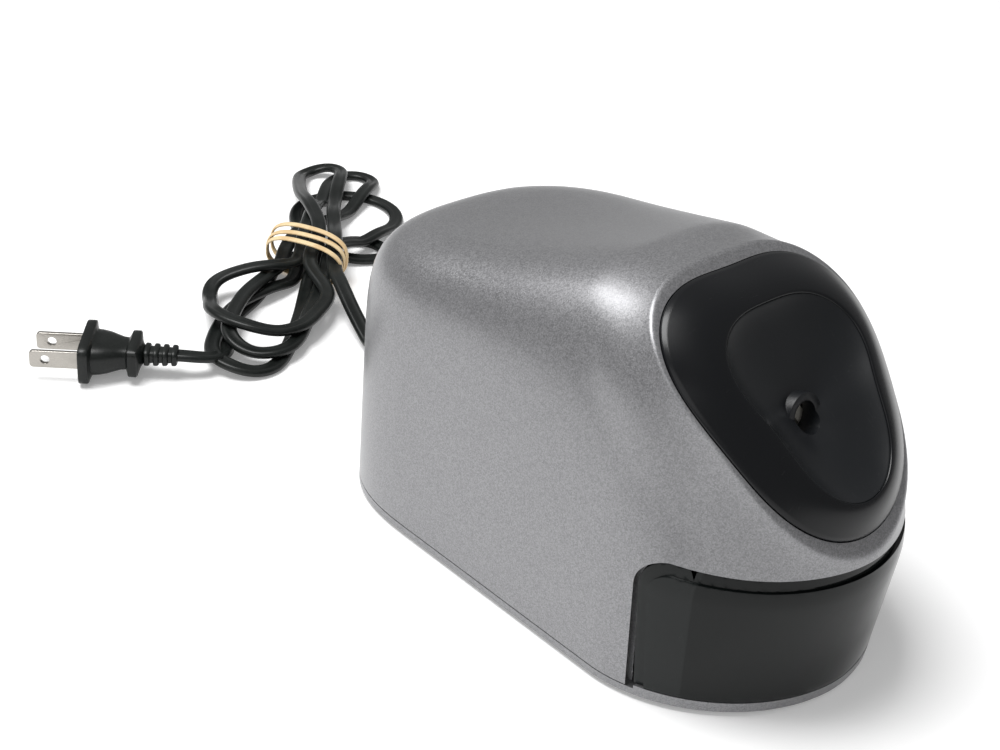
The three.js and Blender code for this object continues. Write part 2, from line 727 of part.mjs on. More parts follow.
add(body, "mechanism_frame", mechanismFrame(), finish.grey);
add(head, "guide_tube", guideTube(), finish.white);
const ring = gear(ringGear.teeth, ringGear.module, ringGear.start, ringGear.start + ringGear.width, {
  outer: ringGear.outer,
});
add(head, "ring_gear", ring, finish.steel);
add(head, "cutter_carrier", cutterCarrier(), finish.white);
add(head, "helical_cutter", onCutter(helicalCutter()), finish.toolSteel);
const cutterPinion = gear(cutter.teeth, ringGear.module, -1.3, 1.3, { bore: 2 + GAP, turn: outward });
add(head, "cutter_pinion", onCutter(cutterPinion), finish.steel);
add(head, "cutter_pin", onCutter(rod(2, -2.4, 34, 0, 0, 16)), finish.steel);

const bushStart = carrier.rear + carrier.rearThickness + 1;
const bushEnd = frame.rear + frame.rearThickness + 1;
const bushBore = hub.radius + GAP;
const carrierBush = pipe(8, bushBore, frame.rear - 1, bushEnd, 0, 0, 28)
  .add(pipe(10, bushBore, bushStart, frame.rear - GAP, 0, 0, 28));
add(head, "carrier_bush", carrierBush, finish.brass);
const carrierGear = gear(
  secondStage.wheel, secondStage.module, secondStage.start, secondStage.start + secondStage.width,
  { bore: hub.radius + GAP, turn: inStep },
);
add(head, "carrier_gear", carrierGear, finish.white);

function idlerGear() {
  const { start } = firstStage;
  const bore = 2 + GAP;
  const turn = -inStep;
  const small = gear(secondStage.pinion, secondStage.module, secondStage.start - 0.5, start + 0.2, { bore });
  const large = gear(firstStage.wheel, firstModule, start, start + firstStage.width, { bore, turn });
  return solid(moved(geometryOf(small.add(large)), 0, centreDistance, 0));
}

add(head, "idler_gear", idlerGear(), finish.white);
const axleEnd = firstStage.start + firstStage.width + 1.6;
add(head, "idler_axle", rod(2, frame.rear - 1.5, axleEnd, 0, centreDistance, 16), finish.steel);

// ---------------------------------------------------------------- motor

const stackEnd = motor.stackStart + motor.stack;
const boltPlaces = [[-19.5, -12.5], [19.5, -12.5]];

function stator() {
  const shape = outlineShape([
    [-motor.halfWidth, -motor.above],
    [motor.halfWidth, -motor.above],
    [motor.halfWidth, motor.legEnd],
    [-motor.halfWidth, motor.legEnd],
  ]);
  const bore = new THREE.Path().absarc(0, 0, motor.rotor + motor.airGap, 0, 2 * Math.PI, true);
  const window = new THREE.Path();
  const side = motor.halfWidth - 8.5;
  window.moveTo(-side, motor.above);
  window.lineTo(-side, motor.legStart);
  window.lineTo(side, motor.legStart);
  window.lineTo(side, motor.above);
  shape.holes.push(bore, window);
  let made = prism(shape, motor.stackStart, stackEnd, 32);
  for (const [x, y] of boltPlaces) made = made.subtract(rod(motor.bolt + GAP, 60, 130, x, y, 16));
  return made;
}

function coil(grow, inner, halfLength) {
  const outer = box(
    -halfLength, motor.legStart - grow, motor.stackStart - grow,
    halfLength, motor.legEnd + grow, stackEnd + grow,
  );
  return outer.subtract(
    box(-40, motor.legStart - inner, motor.stackStart - inner, 40, motor.legEnd + inner, stackEnd + inner),
  );
}

function bobbin() {
  const halfLength = motor.halfWidth - 8.5 - GAP;
  const flange = halfLength - 1.4;
  return coil(1.5, GAP, halfLength)
    .add(coil(motor.coil, GAP, halfLength).subtract(box(-flange, -90, 0, flange, 90, 200)));
}

function motorBracket(start, end, spacerStart, spacerEnd) {
  let made = box(-motor.halfWidth, -motor.above, start, motor.halfWidth, 15, end);
  for (const [x, y] of boltPlaces) {
    made = made.add(rod(3.6, spacerStart, spacerEnd, x, y, 20));
    made = made.subtract(rod(motor.bolt + GAP, 50, 130, x, y, 16));
  }
  return made.subtract(rod(5 + GAP, start - 1, end + 1, 0, 0, 20));
}

function coolingFan() {
  const end = fan.start + fan.width;
  let made = rod(5.5, fan.start, end, 0, 0, 24);
  for (let i = 0; i < fan.blades; i++) {
    const vane = new THREE.BoxGeometry(fan.radius - 4, 1.2, fan.width + 2.4);
    vane.rotateX(0.6).translate(4 + (fan.radius - 4) / 2, 0, (fan.start + end) / 2);
    made = made.add(solid(vane.rotateZ((2 * Math.PI * i) / fan.blades)));
  }
  made = made.intersect(rod(fan.radius, fan.start - 0.5, end + 0.5, 0, 0, 40));
  return made.subtract(rod(motor.shaft + GAP, 90, 140, 0, 0, 20));
}

const frontBracket = [77, 77 + motor.bracket];
const rearBracket = [stackEnd + 3.5, stackEnd + 3.5 + motor.bracket];
add(head, "motor_stator", stator(), finish.laminations);
add(head, "coil_bobbin", bobbin(), finish.white);
const windingHalf = motor.halfWidth - 8.5 - GAP - 1.4 - GAP;
add(head, "motor_winding", coil(motor.coil - 0.6, 1.5 + GAP, windingHalf), finish.copper);
const frameRearFace = frame.rear + frame.rearThickness + GAP;
const spacers = [frameRearFace, motor.stackStart - GAP];
add(head, "motor_bracket_front", motorBracket(...frontBracket, ...spacers), finish.grey);
add(head, "motor_bracket_rear", motorBracket(...rearBracket, stackEnd + GAP, rearBracket[1]), finish.grey);
add(head, "bearing_front", shaftBush(frontBracket[0] - 1, frontBracket[1] + 1, 5), finish.brass);
add(head, "bearing_rear", shaftBush(rearBracket[0] - 1, rearBracket[1] + 1, 5), finish.brass);
boltPlaces.forEach(([x, y], i) => {
  const bolt = rod(motor.bolt, frontBracket[0] - 6, rearBracket[1] + 1, x, y, 16).add(
    rod(3.4, rearBracket[1] + GAP, rearBracket[1] + 2.4, x, y, 6),
  );
  add(head, "motor_bolt_" + (i + 1), bolt, finish.steel);
});
const rotorCore = pipe(motor.rotor, motor.shaft + GAP, motor.stackStart + 0.5, stackEnd - 0.5, 0, 0, 40);
add(head, "rotor_core", rotorCore, finish.laminations);
add(head, "rotor_shaft", rod(motor.shaft, rotorShaft.start, rotorShaft.end, 0, 0, 20), finish.steel);
const motorPinion = gear(firstStage.pinion, firstModule, firstStage.start - 0.4, firstStage.start + 3.6, {
  bore: motor.shaft + GAP,
  turn: inStep + Math.PI / firstStage.pinion,
});
add(head, "motor_pinion", motorPinion, finish.brass);
add(head, "cooling_fan", coolingFan(), finish.matteBlack);

// ---------------------------------------------------------------- switches

const leverEnd = lever.start + lever.width;
const startLever = bar(lever.pivotX, lever.pivotY, lever.toeX, 0, lever.bar, lever.start, leverEnd)
  .add(bar(lever.pivotX, lever.pivotY, lever.endX, lever.pivotY, lever.bar, lever.start, leverEnd))
  .add(rod(3.4, lever.start, leverEnd, lever.pivotX, lever.pivotY, 20))
  .subtract(rod(1.5 + GAP, 0, 30, lever.pivotX, lever.pivotY, 16));
add(head, "start_lever", startLever, finish.white);
const pivotPin = rod(1.5, leverEnd - 4.4, frame.front + 3, lever.pivotX, lever.pivotY, 16);
add(head, "lever_pin", pivotPin, finish.steel);
const buttonTop = lever.pivotY + lever.bar / 2 + 0.4;
const buttonLine = (z0, z1, radius) => {
  const geometry = new THREE.CylinderGeometry(radius, radius, z1 - z0, 16);
  return solid(moved(geometry, lever.endX, (z0 + z1) / 2, lever.start + lever.width / 2));
};
const switchBottom = startSwitch.top + startSwitch.height;
const switchBody = box(
  lever.endX - startSwitch.halfWidth, startSwitch.top, startSwitch.start,
  lever.endX + startSwitch.halfWidth, switchBottom, startSwitch.start + startSwitch.depth,
).subtract(buttonLine(startSwitch.top - 1, switchBottom - 1.4, startSwitch.button + GAP));
add(head, "start_switch", switchBody, finish.matteBlack);
const buttonPiece = buttonLine(buttonTop, startSwitch.top + 4.4, startSwitch.button);
add(head, "start_switch_button", buttonPiece, finish.red);

const switchFront = trayBackY + 3.4;
const half = drawerSwitch.width / 2;
const plungerZ = drawerSwitch.z + drawerSwitch.height / 2;
const plungerLine = (y0, y1, radius) => {
  const geometry = new THREE.CylinderGeometry(radius, radius, y1 - y0, 16);
  return solid(moved(geometry, drawerSwitch.x, (y0 + y1) / 2, plungerZ));
};
const interlock = box(
  drawerSwitch.x - half, switchFront, drawerSwitch.z,
  drawerSwitch.x + half, switchFront + drawerSwitch.depth, drawerSwitch.z + drawerSwitch.height,
).subtract(plungerLine(switchFront - 1, switchFront + 8, drawerSwitch.plunger + GAP));
const plungerPiece = plungerLine(trayBackY + 0.5, switchFront + 7, drawerSwitch.plunger);

add(body, "drawer_switch", interlock, finish.matteBlack);
add(body, "drawer_switch_plunger", plungerPiece, finish.red);

// ---------------------------------------------------------------- cord and plug

// A closed ring of points: an oval or rounded rectangle of the given half sizes, set across
// a direction in plan.
function section(centre, heading, halfWidth, halfHeight, sides, power = 1) {
  return Array.from({ length: sides }, (_, i) => {
    const angle = (2 * Math.PI * (i + 0.5)) / sides;
    const [c, s] = [Math.cos(angle), Math.sin(angle)];
    const across = halfWidth * Math.sign(c) * Math.abs(c) ** power;
    const up = halfHeight * Math.sign(s) * Math.abs(s) ** power;
    const [dx, dy] = [-Math.sin(heading) * across, Math.cos(heading) * across];
    return [centre[0] + dx, centre[1] + dy, centre[2] + up];
  });
}

// Flat lead: an oval swept along its centreline and always lying on its wide side.
function flatLead(points, spacing = 3) {
  const curve = new THREE.CatmullRomCurve3(points.map((p) => new THREE.Vector3(...p)));
  const steps = Math.ceil(curve.getLength() / spacing);
  const rings = Array.from({ length: steps + 1 }, (_, i) => {
    const at = curve.getPointAt(i / steps);
    const way = curve.getTangentAt(i / steps);
    return section(at.toArray(), Math.atan2(way.y, way.x), cord.width / 2, cord.thickness / 2, 8);
  });
  return loft(rings);
}

// Places along the hank: its own length runs along X before it is turned into place.
function inHank(geometry) {
  const [x, y] = cord.hankCentre;
  return solid(geometry.rotateZ(cord.hankAngle).translate(x, y, 0));
}

function hankOutline(grow = 0) {
  const end = cord.hankLength / 2 - cord.hankWidth / 2;
  const wide = cord.hankWidth / 2 + grow;
  const waist = cord.hankWaist / 2 + grow;
  const shape = new THREE.Shape();
  shape.moveTo(-end, -wide);
  shape.bezierCurveTo(-end / 2, -wide, cord.bandPlace - 24, -waist, cord.bandPlace, -waist);
  shape.bezierCurveTo(cord.bandPlace + 24, -waist, end / 2, -wide, end, -wide);
  shape.absarc(end, 0, wide, -Math.PI / 2, Math.PI / 2);
  shape.bezierCurveTo(end / 2, wide, cord.bandPlace + 24, waist, cord.bandPlace, waist);
  shape.bezierCurveTo(cord.bandPlace - 24, waist, -end / 2, wide, -end, wide);
  shape.absarc(-end, 0, wide, Math.PI / 2, (3 * Math.PI) / 2);
  return shape;
}

function rubberBand() {
  const [thick, broad] = [1.4, 5];
  const ringShape = (grow, corner) => {
    const w = cord.hankWaist / 2 + grow + 0.8;
    const low = cord.hankBottom - grow;
    const high = cord.hankBottom + cord.hankHeight + grow;
    return outlineShape([
      [low, -w + corner],
      [low + corner, -w],
      [high - corner, -w],
      [high, -w + corner],
      [high, w - corner],
      [high - corner, w],
      [low + corner, w],
      [low, w - corner],
    ]);
  };
  const start = cord.bandPlace - broad / 2;
  const turnUp = new THREE.Matrix4().set(0, 0, 1, start, 0, -1, 0, 0, 1, 0, 0, 0, 0, 0, 0, 1);
  const swept = (grow, extra) => {
    const options = { depth: broad + 2 * extra, bevelEnabled: false };
    const band = new THREE.ExtrudeGeometry(ringShape(grow, grow - GAP + 0.1), options);
    return band.translate(0, 0, -extra).applyMatrix4(turnUp);
  };
  return [swept(GAP + thick, 0), swept(GAP, 1)];
}

function plugPart(manifold) {
  const turned = geometryOf(manifold).rotateZ(plug.heading);
  return solid(turned.translate(...plug.position));
}

function plugBody() {
  const stations = [
    [0, 12.5, 7],
    [3.6, 12.5, 7],
    [3.9, 9.7, 5.4],
    [7.5, 9.3, 5.2],
    [12, 7.2, 4.4],
    [15.4, 6.4, 4.1],
    [16.6, 9, 5.4],
    [19.2, 9, 5.4],
    [20.2, 5, 3.6],
  ];
  for (let i = 0; i < plug.ribs; i++) {
    const start = 21 + i * plug.ribPitch;
    stations.push([start, 3.6, 2.5], [start + 0.2, 4.7, 3.1], [start + 1.9, 4.5, 3], [start + 2.1, 3.6, 2.5]);
  }
  const rings = stations.map(([s, w, h]) => section([s, 0, 0], 0, w, h, 16, 0.6));
  let made = loft(rings);
  for (const side of [-1, 1]) made = made.subtract(bladeSolid(side, GAP, 0));
  return made;
}

function bladeSolid(side, grow, hole) {
  const y = (side * blade.spacing) / 2;
  const [wide, thick] = [blade.width / 2 + grow, blade.thickness / 2 + grow];
  const plate = box(-blade.length, y - thick, -wide, blade.seat + grow, y + thick, wide);
  if (!hole) return plate;
  const drill = new THREE.CylinderGeometry(hole, hole, 6, 16).translate(-blade.holePlace, y, 0);
  return plate.subtract(solid(drill));
}

function strainRelief() {
  const [x, y, z] = reliefPlace;
  const reach = cord.leadStart - GAP;
  const flange = box(x - 6.5, y - 8, z - 6.5, x + 6.5, y - 4, z + 6.5);
  const neck = box(x - 4.5, y - 4.5, z - 4.5, x + 4.5, y + 1, z + 4.5);
  const sleeve = [[0.5, 5.4, 5.4], [1.8, 5.4, 5.4], [2.4, 4.6, 4.2]];
  const ribs = 5;
  for (let i = 0; i < ribs; i++) {
    const start = 4 + ((reach - y - 4) * i) / ribs;
    const size = 1 - 0.06 * i;
    sleeve.push([start, 4.5 * size, 3.6 * size], [start + 2.8, 4.4 * size, 3.5 * size]);
    sleeve.push([start + 3, 3.7 * size, 2.9 * size]);
  }
  sleeve.push([reach - y, 3.4, 2.3]);
  const rings = sleeve.map(([s, w, h]) => section([x, y + s, z], Math.PI / 2, w, h, 16, 0.7));
  return flange.add(neck).add(loft(rings));
}

add(body, "strain_relief", strainRelief(), finish.rubber);
// The hank as a solid, or that solid grown all round to cut the two free ends clear of it.
function hank(grow = 0) {
  const options = { depth: cord.hankHeight + 2 * grow, bevelEnabled: false, curveSegments: 8 };
  const geometry = new THREE.ExtrudeGeometry(hankOutline(grow), options);
  return inHank(geometry.translate(0, 0, cord.hankBottom - grow));
}

add(sharpener, "cord_lead", flatLead(leadPoints).subtract(hank(GAP)), finish.rubber);
add(sharpener, "cord_tail", flatLead(tailPoints, 2).subtract(hank(GAP)), finish.rubber);
add(sharpener, "cord_hank", hank(), finish.rubber);
const [bandOuter, bandInner] = rubberBand().map(inHank);
add(sharpener, "rubber_band", bandOuter.subtract(bandInner), finish.band);
add(sharpener, "plug_body", plugPart(plugBody()), finish.rubber);
add(sharpener, "plug_blade_near", plugPart(bladeSolid(-1, 0, blade.hole)), finish.steel);
add(sharpener, "plug_blade_far", plugPart(bladeSolid(1, 0, blade.hole)), finish.steel);

export default sharpener;
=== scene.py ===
"""Electric pencil sharpener: fine surfaces, finishes, folded cord and studio.

Shapes are worked out in millimetres from the lowest edge of the housing and are put into the
meshes in metres. The front faces -Y, +X is the right-hand side seen from the front, +Z is up.
"""

from __future__ import annotations

import json
import logging
import math
from dataclasses import dataclass, field
from enum import Enum
from typing import Sequence

import bpy
import numpy as np
from mathutils import Matrix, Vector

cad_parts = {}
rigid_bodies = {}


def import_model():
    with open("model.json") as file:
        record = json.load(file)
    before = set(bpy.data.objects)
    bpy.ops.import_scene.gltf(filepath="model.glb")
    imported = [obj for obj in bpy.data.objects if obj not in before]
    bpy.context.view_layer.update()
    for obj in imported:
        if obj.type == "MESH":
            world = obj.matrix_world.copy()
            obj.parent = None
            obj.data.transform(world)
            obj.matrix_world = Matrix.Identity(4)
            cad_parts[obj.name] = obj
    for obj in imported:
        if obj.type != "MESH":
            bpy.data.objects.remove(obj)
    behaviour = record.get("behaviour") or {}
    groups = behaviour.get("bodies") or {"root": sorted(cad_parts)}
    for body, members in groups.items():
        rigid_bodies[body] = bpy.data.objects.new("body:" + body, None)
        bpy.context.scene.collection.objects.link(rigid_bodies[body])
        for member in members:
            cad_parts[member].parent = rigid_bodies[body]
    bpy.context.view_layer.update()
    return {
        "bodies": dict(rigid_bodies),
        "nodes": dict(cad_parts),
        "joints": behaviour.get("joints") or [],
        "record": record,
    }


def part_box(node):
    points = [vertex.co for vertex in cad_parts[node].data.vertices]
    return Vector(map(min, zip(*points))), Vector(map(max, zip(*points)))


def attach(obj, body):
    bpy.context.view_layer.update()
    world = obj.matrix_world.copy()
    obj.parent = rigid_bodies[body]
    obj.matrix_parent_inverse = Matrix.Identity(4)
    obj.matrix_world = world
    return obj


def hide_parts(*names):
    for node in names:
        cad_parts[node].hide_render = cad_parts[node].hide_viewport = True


log = logging.getLogger("sharpener")

MM = 0.001
GAP = 0.3  # assembly gap between neighbouring pieces, as in the CAD
EXIT = (10.0, 92.0, 15.5)  # where the cord leaves the housing, over the surface that it stands on
NECK = 4.5  # half width of the strain relief's neck
FOOT = 1.5  # how far the feet stand out below the housing's edge
WIDE = 80.0  # half width of a cutting block that takes in the whole housing
LONG = 140.0  # half length of such a block
DIP = math.radians(16)  # how steeply the pencil and the motor's shaft point down towards the rear
INNER_TILTS = (6.0, 176.0)  # degrees from the face's axis between which the rings of an inside lie
Points = np.ndarray


class Body(str, Enum):
    """The CAD bodies that pieces ride on."""

    HOUSING = "housing"
    DRAWER = "drawer"


# ------------------------------------------------------------------ shader graph


class Value:
    """A shader socket that takes part in Python arithmetic."""

    def __init__(self, graph: "Graph", socket: bpy.types.NodeSocket) -> None:
        """Wraps one output socket of a graph."""
        self.graph = graph
        self.socket = socket

    def __add__(self, other: "Value | float") -> "Value":
        """Sum of two values."""
        return self.graph.math("ADD", self, other)

    def __radd__(self, other: "Value | float") -> "Value":
        """Sum with a number on the left."""
        return self.graph.math("ADD", other, self)

    def __sub__(self, other: "Value | float") -> "Value":
        """Difference of two values."""
        return self.graph.math("SUBTRACT", self, other)

    def __rsub__(self, other: "Value | float") -> "Value":
        """Difference from a number on the left."""
        return self.graph.math("SUBTRACT", other, self)

    def __mul__(self, other: "Value | float") -> "Value":
        """Product of two values."""
        return self.graph.math("MULTIPLY", self, other)

    def __rmul__(self, other: "Value | float") -> "Value":
        """Product with a number on the left."""
        return self.graph.math("MULTIPLY", other, self)

    def above(self, limit: float, width: float) -> "Value":
        """A mask that rises along an S from 0 to 1.

        Args:
            limit: where the rise begins.
            width: how much further on it ends.

        Returns:
            The mask.
        """
        settings = {"interpolation_type": "SMOOTHSTEP", "clamp": True}
        inputs = {"Value": self, "From Min": limit, "From Max": limit + width}
        return self.graph.node("ShaderNodeMapRange", settings, inputs, "Result")


class Graph:
    """The node tree of one material."""

    def __init__(self, name: str) -> None:
        """Makes an empty material with an output and one principled shader.

        Args:
            name: the material's name.
        """
        self.material = bpy.data.materials.new(name)
        self.material.use_nodes = True
        self.tree = self.material.node_tree
        self.tree.nodes.clear()
        self.output = self.tree.nodes.new("ShaderNodeOutputMaterial")
        self.shader = self.tree.nodes.new("ShaderNodeBsdfPrincipled")
        self.tree.links.new(self.shader.outputs[0], self.output.inputs[0])

    def _feed(self, socket: bpy.types.NodeSocket, value: object) -> None:
        """Links a value to a socket, or sets the socket's own number or colour.

        Args:
            socket: the input socket.
            value: a Value to link, or a number, a vector or a colour.
        """
        if isinstance(value, Value):
            self.tree.links.new(value.socket, socket)
        elif isinstance(value, (tuple, list)) and socket.type == "RGBA":
            socket.default_value = (*value[:3], 1.0)
        else:
            socket.default_value = value

    def node(
        self, kind: str, settings: dict[str, object], inputs: dict[object, object], output: object = 0
    ) -> Value:
        """Adds a node.

        Args:
            kind: the node's type.
            settings: its properties, set before its sockets.
            inputs: values or links by socket name or number.
            output: name or number of the socket that is wanted.

        Returns:
            The wanted output.
        """
        made = self.tree.nodes.new(kind)
        for key, value in settings.items():
            setattr(made, key, value)
        for key, value in inputs.items():
            self._feed(made.inputs[key], value)
        return Value(self, made.outputs[output])

    def math(self, operation: str, a: Value | float, b: Value | float = 0.0) -> Value:
        """One Math node on values."""
        return self.node("ShaderNodeMath", {"operation": operation}, {0: a, 1: b})

    def place(self, scale: tuple[float, float, float] = (1, 1, 1)) -> Value:
        """Object coordinates, stretched by a scale along each axis."""
        at = self.node("ShaderNodeTexCoord", {}, {}, "Object")
        return self.node("ShaderNodeMapping", {}, {"Vector": at, "Scale": scale}, "Vector")

    def noise(self, at: Value, scale: float, detail: float = 3.0, rough: float = 0.55) -> Value:
        """Fractal noise between 0 and 1."""
        inputs = {"Vector": at, "Scale": scale, "Detail": detail, "Roughness": rough}
        return self.node("ShaderNodeTexNoise", {}, inputs, 0)

    def cells(self, at: Value, scale: float) -> Value:
        """A random number for each small cell, as in metal flake."""
        made = self.node("ShaderNodeTexVoronoi", {}, {"Vector": at, "Scale": scale}, "Color")
        return self.node("ShaderNodeSeparateColor", {}, {"Color": made}, 0)

    def mix(self, factor: Value | float, a: object, b: object) -> Value:
        """Mixes two colours."""
        settings = {"data_type": "RGBA", "clamp_factor": True}
        return self.node("ShaderNodeMix", settings, {0: factor, 6: a, 7: b}, 2)

    def bump(self, height: Value, distance: float, strength: float = 1.0, base: Value | None = None) -> Value:
        """A bumped normal from a height.

        Args:
            height: the height, between 0 and 1.
            distance: how far 1 stands above 0, in metres.
            strength: the share of the bump that is used.
            base: the normal that the bump is laid on, where it isn't the surface's own.

        Returns:
            The normal.
        """
        inputs: dict[object, object] = {"Height": height, "Distance": distance, "Strength": strength}
        if base is not None:
            inputs["Normal"] = base
        return self.node("ShaderNodeBump", {}, inputs, "Normal")

    def surface(self, **sockets: object) -> bpy.types.Material:
        """Feeds the principled shader's sockets.

        Args:
            sockets: values or links by socket name, with _ for spaces.

        Returns:
            The finished material.
        """
        for name, value in sockets.items():
            self._feed(self.shader.inputs[name.replace("_", " ")], value)
        return self.material


# ------------------------------------------------------------------ finishes


@dataclass(frozen=True)
class SilverPaint:
    """Fine metallic paint on moulded plastic, with a few scuffs near its lower edge."""

    name: str = "silver_paint"
    dark: tuple[float, float, float] = (0.19, 0.19, 0.197)
    light: tuple[float, float, float] = (0.32, 0.32, 0.33)
    metallic: float = 0.62
    roughness: float = 0.36
    flake_per_m: float = 3000.0

    def make(self) -> bpy.types.Material:
        """Builds the material.

        Returns:
            The finished material.
        """
        g = Graph(self.name)
        at = g.place()
        flake = g.cells(at, self.flake_per_m)
        cloud = g.noise(at, 420.0, 2.0)
        tone = g.mix(flake * 0.85 + cloud * 0.15, self.dark, self.light)
        low = 1.0 - g.node("ShaderNodeSeparateXYZ", {}, {"Vector": at}, "Z").above(0.012, 0.05)
        scratch = g.noise(g.place((1.0, 1.0, 9.0)), 95.0, 6.0, 0.7).above(0.665, 0.03)
        nick = g.noise(at, 330.0, 5.0, 0.75).above(0.70, 0.03)
        scuff = (scratch * 0.35 + nick * 0.6) * low
        tone = g.mix(scuff * 0.5, tone, (0.52, 0.52, 0.53))
        smear = g.noise(at, 21.0, 4.0)
        rough = self.roughness + (flake - 0.5) * 0.1 + (smear - 0.5) * 0.12 + scuff * 0.2
        grain = g.bump(flake * 0.6 + cloud * 0.4, 0.00004, 0.5)
        normal = g.bump(1.0 - scuff, 0.00006, 0.5, grain)
        return g.surface(
            Base_Color=tone, Metallic=self.metallic, Roughness=rough, Normal=normal, Coat_Roughness=0.25,
            Coat_Weight=0.15,
        )


@dataclass(frozen=True)
class Moulded:
    """Moulded plastic or rubber: mottled colour, fine grain and uneven gloss."""

    name: str
    color: tuple[float, float, float]
    roughness: float = 0.45
    mottle: float = 0.25
    grain_per_m: float = 1800.0
    grain_depth: float = 0.00003
    specular: float = 0.5

    def make(self) -> bpy.types.Material:
        """Builds the material.

        Returns:
            The finished material.
        """
        g = Graph(self.name)
        at = g.place()
        cloud = g.noise(at, 60.0, 5.0)
        grain = g.noise(at, self.grain_per_m, 2.0)
        worn = tuple(min(1.0, c * (1 + self.mottle) + 0.006) for c in self.color)
        tone = g.mix((cloud * 0.7 + grain * 0.3).above(0.35, 0.3), self.color, worn)
        rough = self.roughness + (cloud - 0.5) * 0.22 + (grain - 0.5) * 0.08
        normal = g.bump(grain, self.grain_depth, 0.6)
        return g.surface(
            Base_Color=tone, Roughness=rough, Normal=normal, Specular_IOR_Level=self.specular
        )


@dataclass(frozen=True)
class GlossBlack:
    """Polished black plastic with faint hairlines and finger marks."""

    name: str = "gloss_black"
    color: tuple[float, float, float] = (0.0035, 0.004, 0.005)

    def make(self) -> bpy.types.Material:
        """Builds the material.

        Returns:
            The finished material.
        """
        g = Graph(self.name)
        at = g.place()
        hair = g.noise(g.place((1.0, 14.0, 3.0)), 160.0, 6.0, 0.7).above(0.66, 0.04)
        marks = g.noise(at, 45.0, 5.0)
        dust = g.noise(at, 1500.0, 2.0).above(0.74, 0.05)
        tone = g.mix(hair * 0.03 + dust * 0.05, self.color, (0.2, 0.2, 0.2))
        rough = 0.2 + marks * 0.1 + hair * 0.12
        normal = g.bump(g.noise(at, 120.0, 2.0) + hair * 0.3, 0.00002, 0.3)
        return g.surface(Base_Color=tone, Roughness=rough, Normal=normal, Specular_IOR_Level=0.3)


@dataclass(frozen=True)
class DishBlack:
    """Satin black plastic rubbed by pencils: fine scratches, dust and dull patches."""

    name: str = "dish_black"
    color: tuple[float, float, float] = (0.006, 0.007, 0.0085)

    def make(self) -> bpy.types.Material:
        """Builds the material.

        Returns:
            The finished material.
        """
        g = Graph(self.name)
        at = g.place()
        long_marks = g.noise(g.place((16.0, 1.5, 1.5)), 120.0, 6.0, 0.72).above(0.63, 0.05)
        cross = g.noise(g.place((2.0, 12.0, 9.0)), 110.0, 6.0, 0.72).above(0.66, 0.05)
        dust = g.noise(at, 1100.0, 4.0, 0.7).above(0.66, 0.08)
        cloud = g.noise(at, 70.0, 4.0)
        wear = long_marks * 0.35 + cross * 0.3 + dust * 0.35
        tone = g.mix(wear * 0.16 + cloud * 0.01, self.color, (0.17, 0.175, 0.18))
        rough = 0.3 + cloud * 0.14 + dust * 0.2 - long_marks * 0.08
        normal = g.bump(g.noise(at, 1500.0, 2.0) - wear * 0.5, 0.00003, 0.5)
        return g.surface(Base_Color=tone, Roughness=rough, Normal=normal, Specular_IOR_Level=0.35)


@dataclass(frozen=True)
class SmokedClear:
    """Dark smoked clear plastic: gloss outside, a little light through the wall, and painted lightening where
    the tray shows through.
    """

    name: str = "smoked_clear"
    color: tuple[float, float, float] = (0.0035, 0.0048, 0.0047)
    painted_tray_light_start: float = -0.0645  # along Y in metres, where the painted lightening of the tray seen through the wall begins

    def make(self) -> bpy.types.Material:
        """Builds the material.

        Returns:
            The finished material.
        """
        g = Graph(self.name)
        at = g.place()
        hair = g.noise(g.place((2.0, 2.0, 22.0)), 110.0, 6.0, 0.7).above(0.66, 0.05)
        marks = g.noise(at, 38.0, 5.0)
        dust = g.noise(at, 900.0, 3.0).above(0.7, 0.06)
        tone = g.mix(hair * 0.04 + dust * 0.06, self.color, (0.2, 0.21, 0.21))
        # painted lightening: the wall's tone is made a little lighter where the tray shows through it
        behind = g.node("ShaderNodeSeparateXYZ", {}, {"Vector": at}, "Y").above(self.painted_tray_light_start, 0.0006)
        tone = g.mix(behind * 0.05, tone, (0.2, 0.22, 0.22))
        rough = 0.1 + marks * 0.08 + hair * 0.1
        normal = g.bump(g.noise(at, 90.0, 2.0), 0.00002, 0.25)
        return g.surface(
            Base_Color=tone, Roughness=rough, Normal=normal, Transmission_Weight=0.15, IOR=1.45,
            Specular_IOR_Level=0.25,
        )


@dataclass(frozen=True)
class Metal:
    """Bare metal with brushing along one direction and light tarnish."""

    name: str
    color: tuple[float, float, float]
    roughness: float = 0.3
    brush: tuple[float, float, float] = (1.0, 1.0, 12.0)
    tarnish: float = 0.25

    def make(self) -> bpy.types.Material:
        """Builds the material.

        Returns:
            The finished material.
        """
        g = Graph(self.name)
        lines = g.noise(g.place(self.brush), 300.0, 4.0, 0.65)
        cloud = g.noise(g.place(), 90.0, 5.0)
        dull = tuple(c * 0.6 for c in self.color)
        tone = g.mix(cloud.above(0.45, 0.3) * self.tarnish, self.color, dull)
        rough = self.roughness + (lines - 0.5) * 0.25 + (cloud - 0.5) * 0.1
        normal = g.bump(lines, 0.00002, 0.4)
        return g.surface(Base_Color=tone, Metallic=1.0, Roughness=rough, Normal=normal)


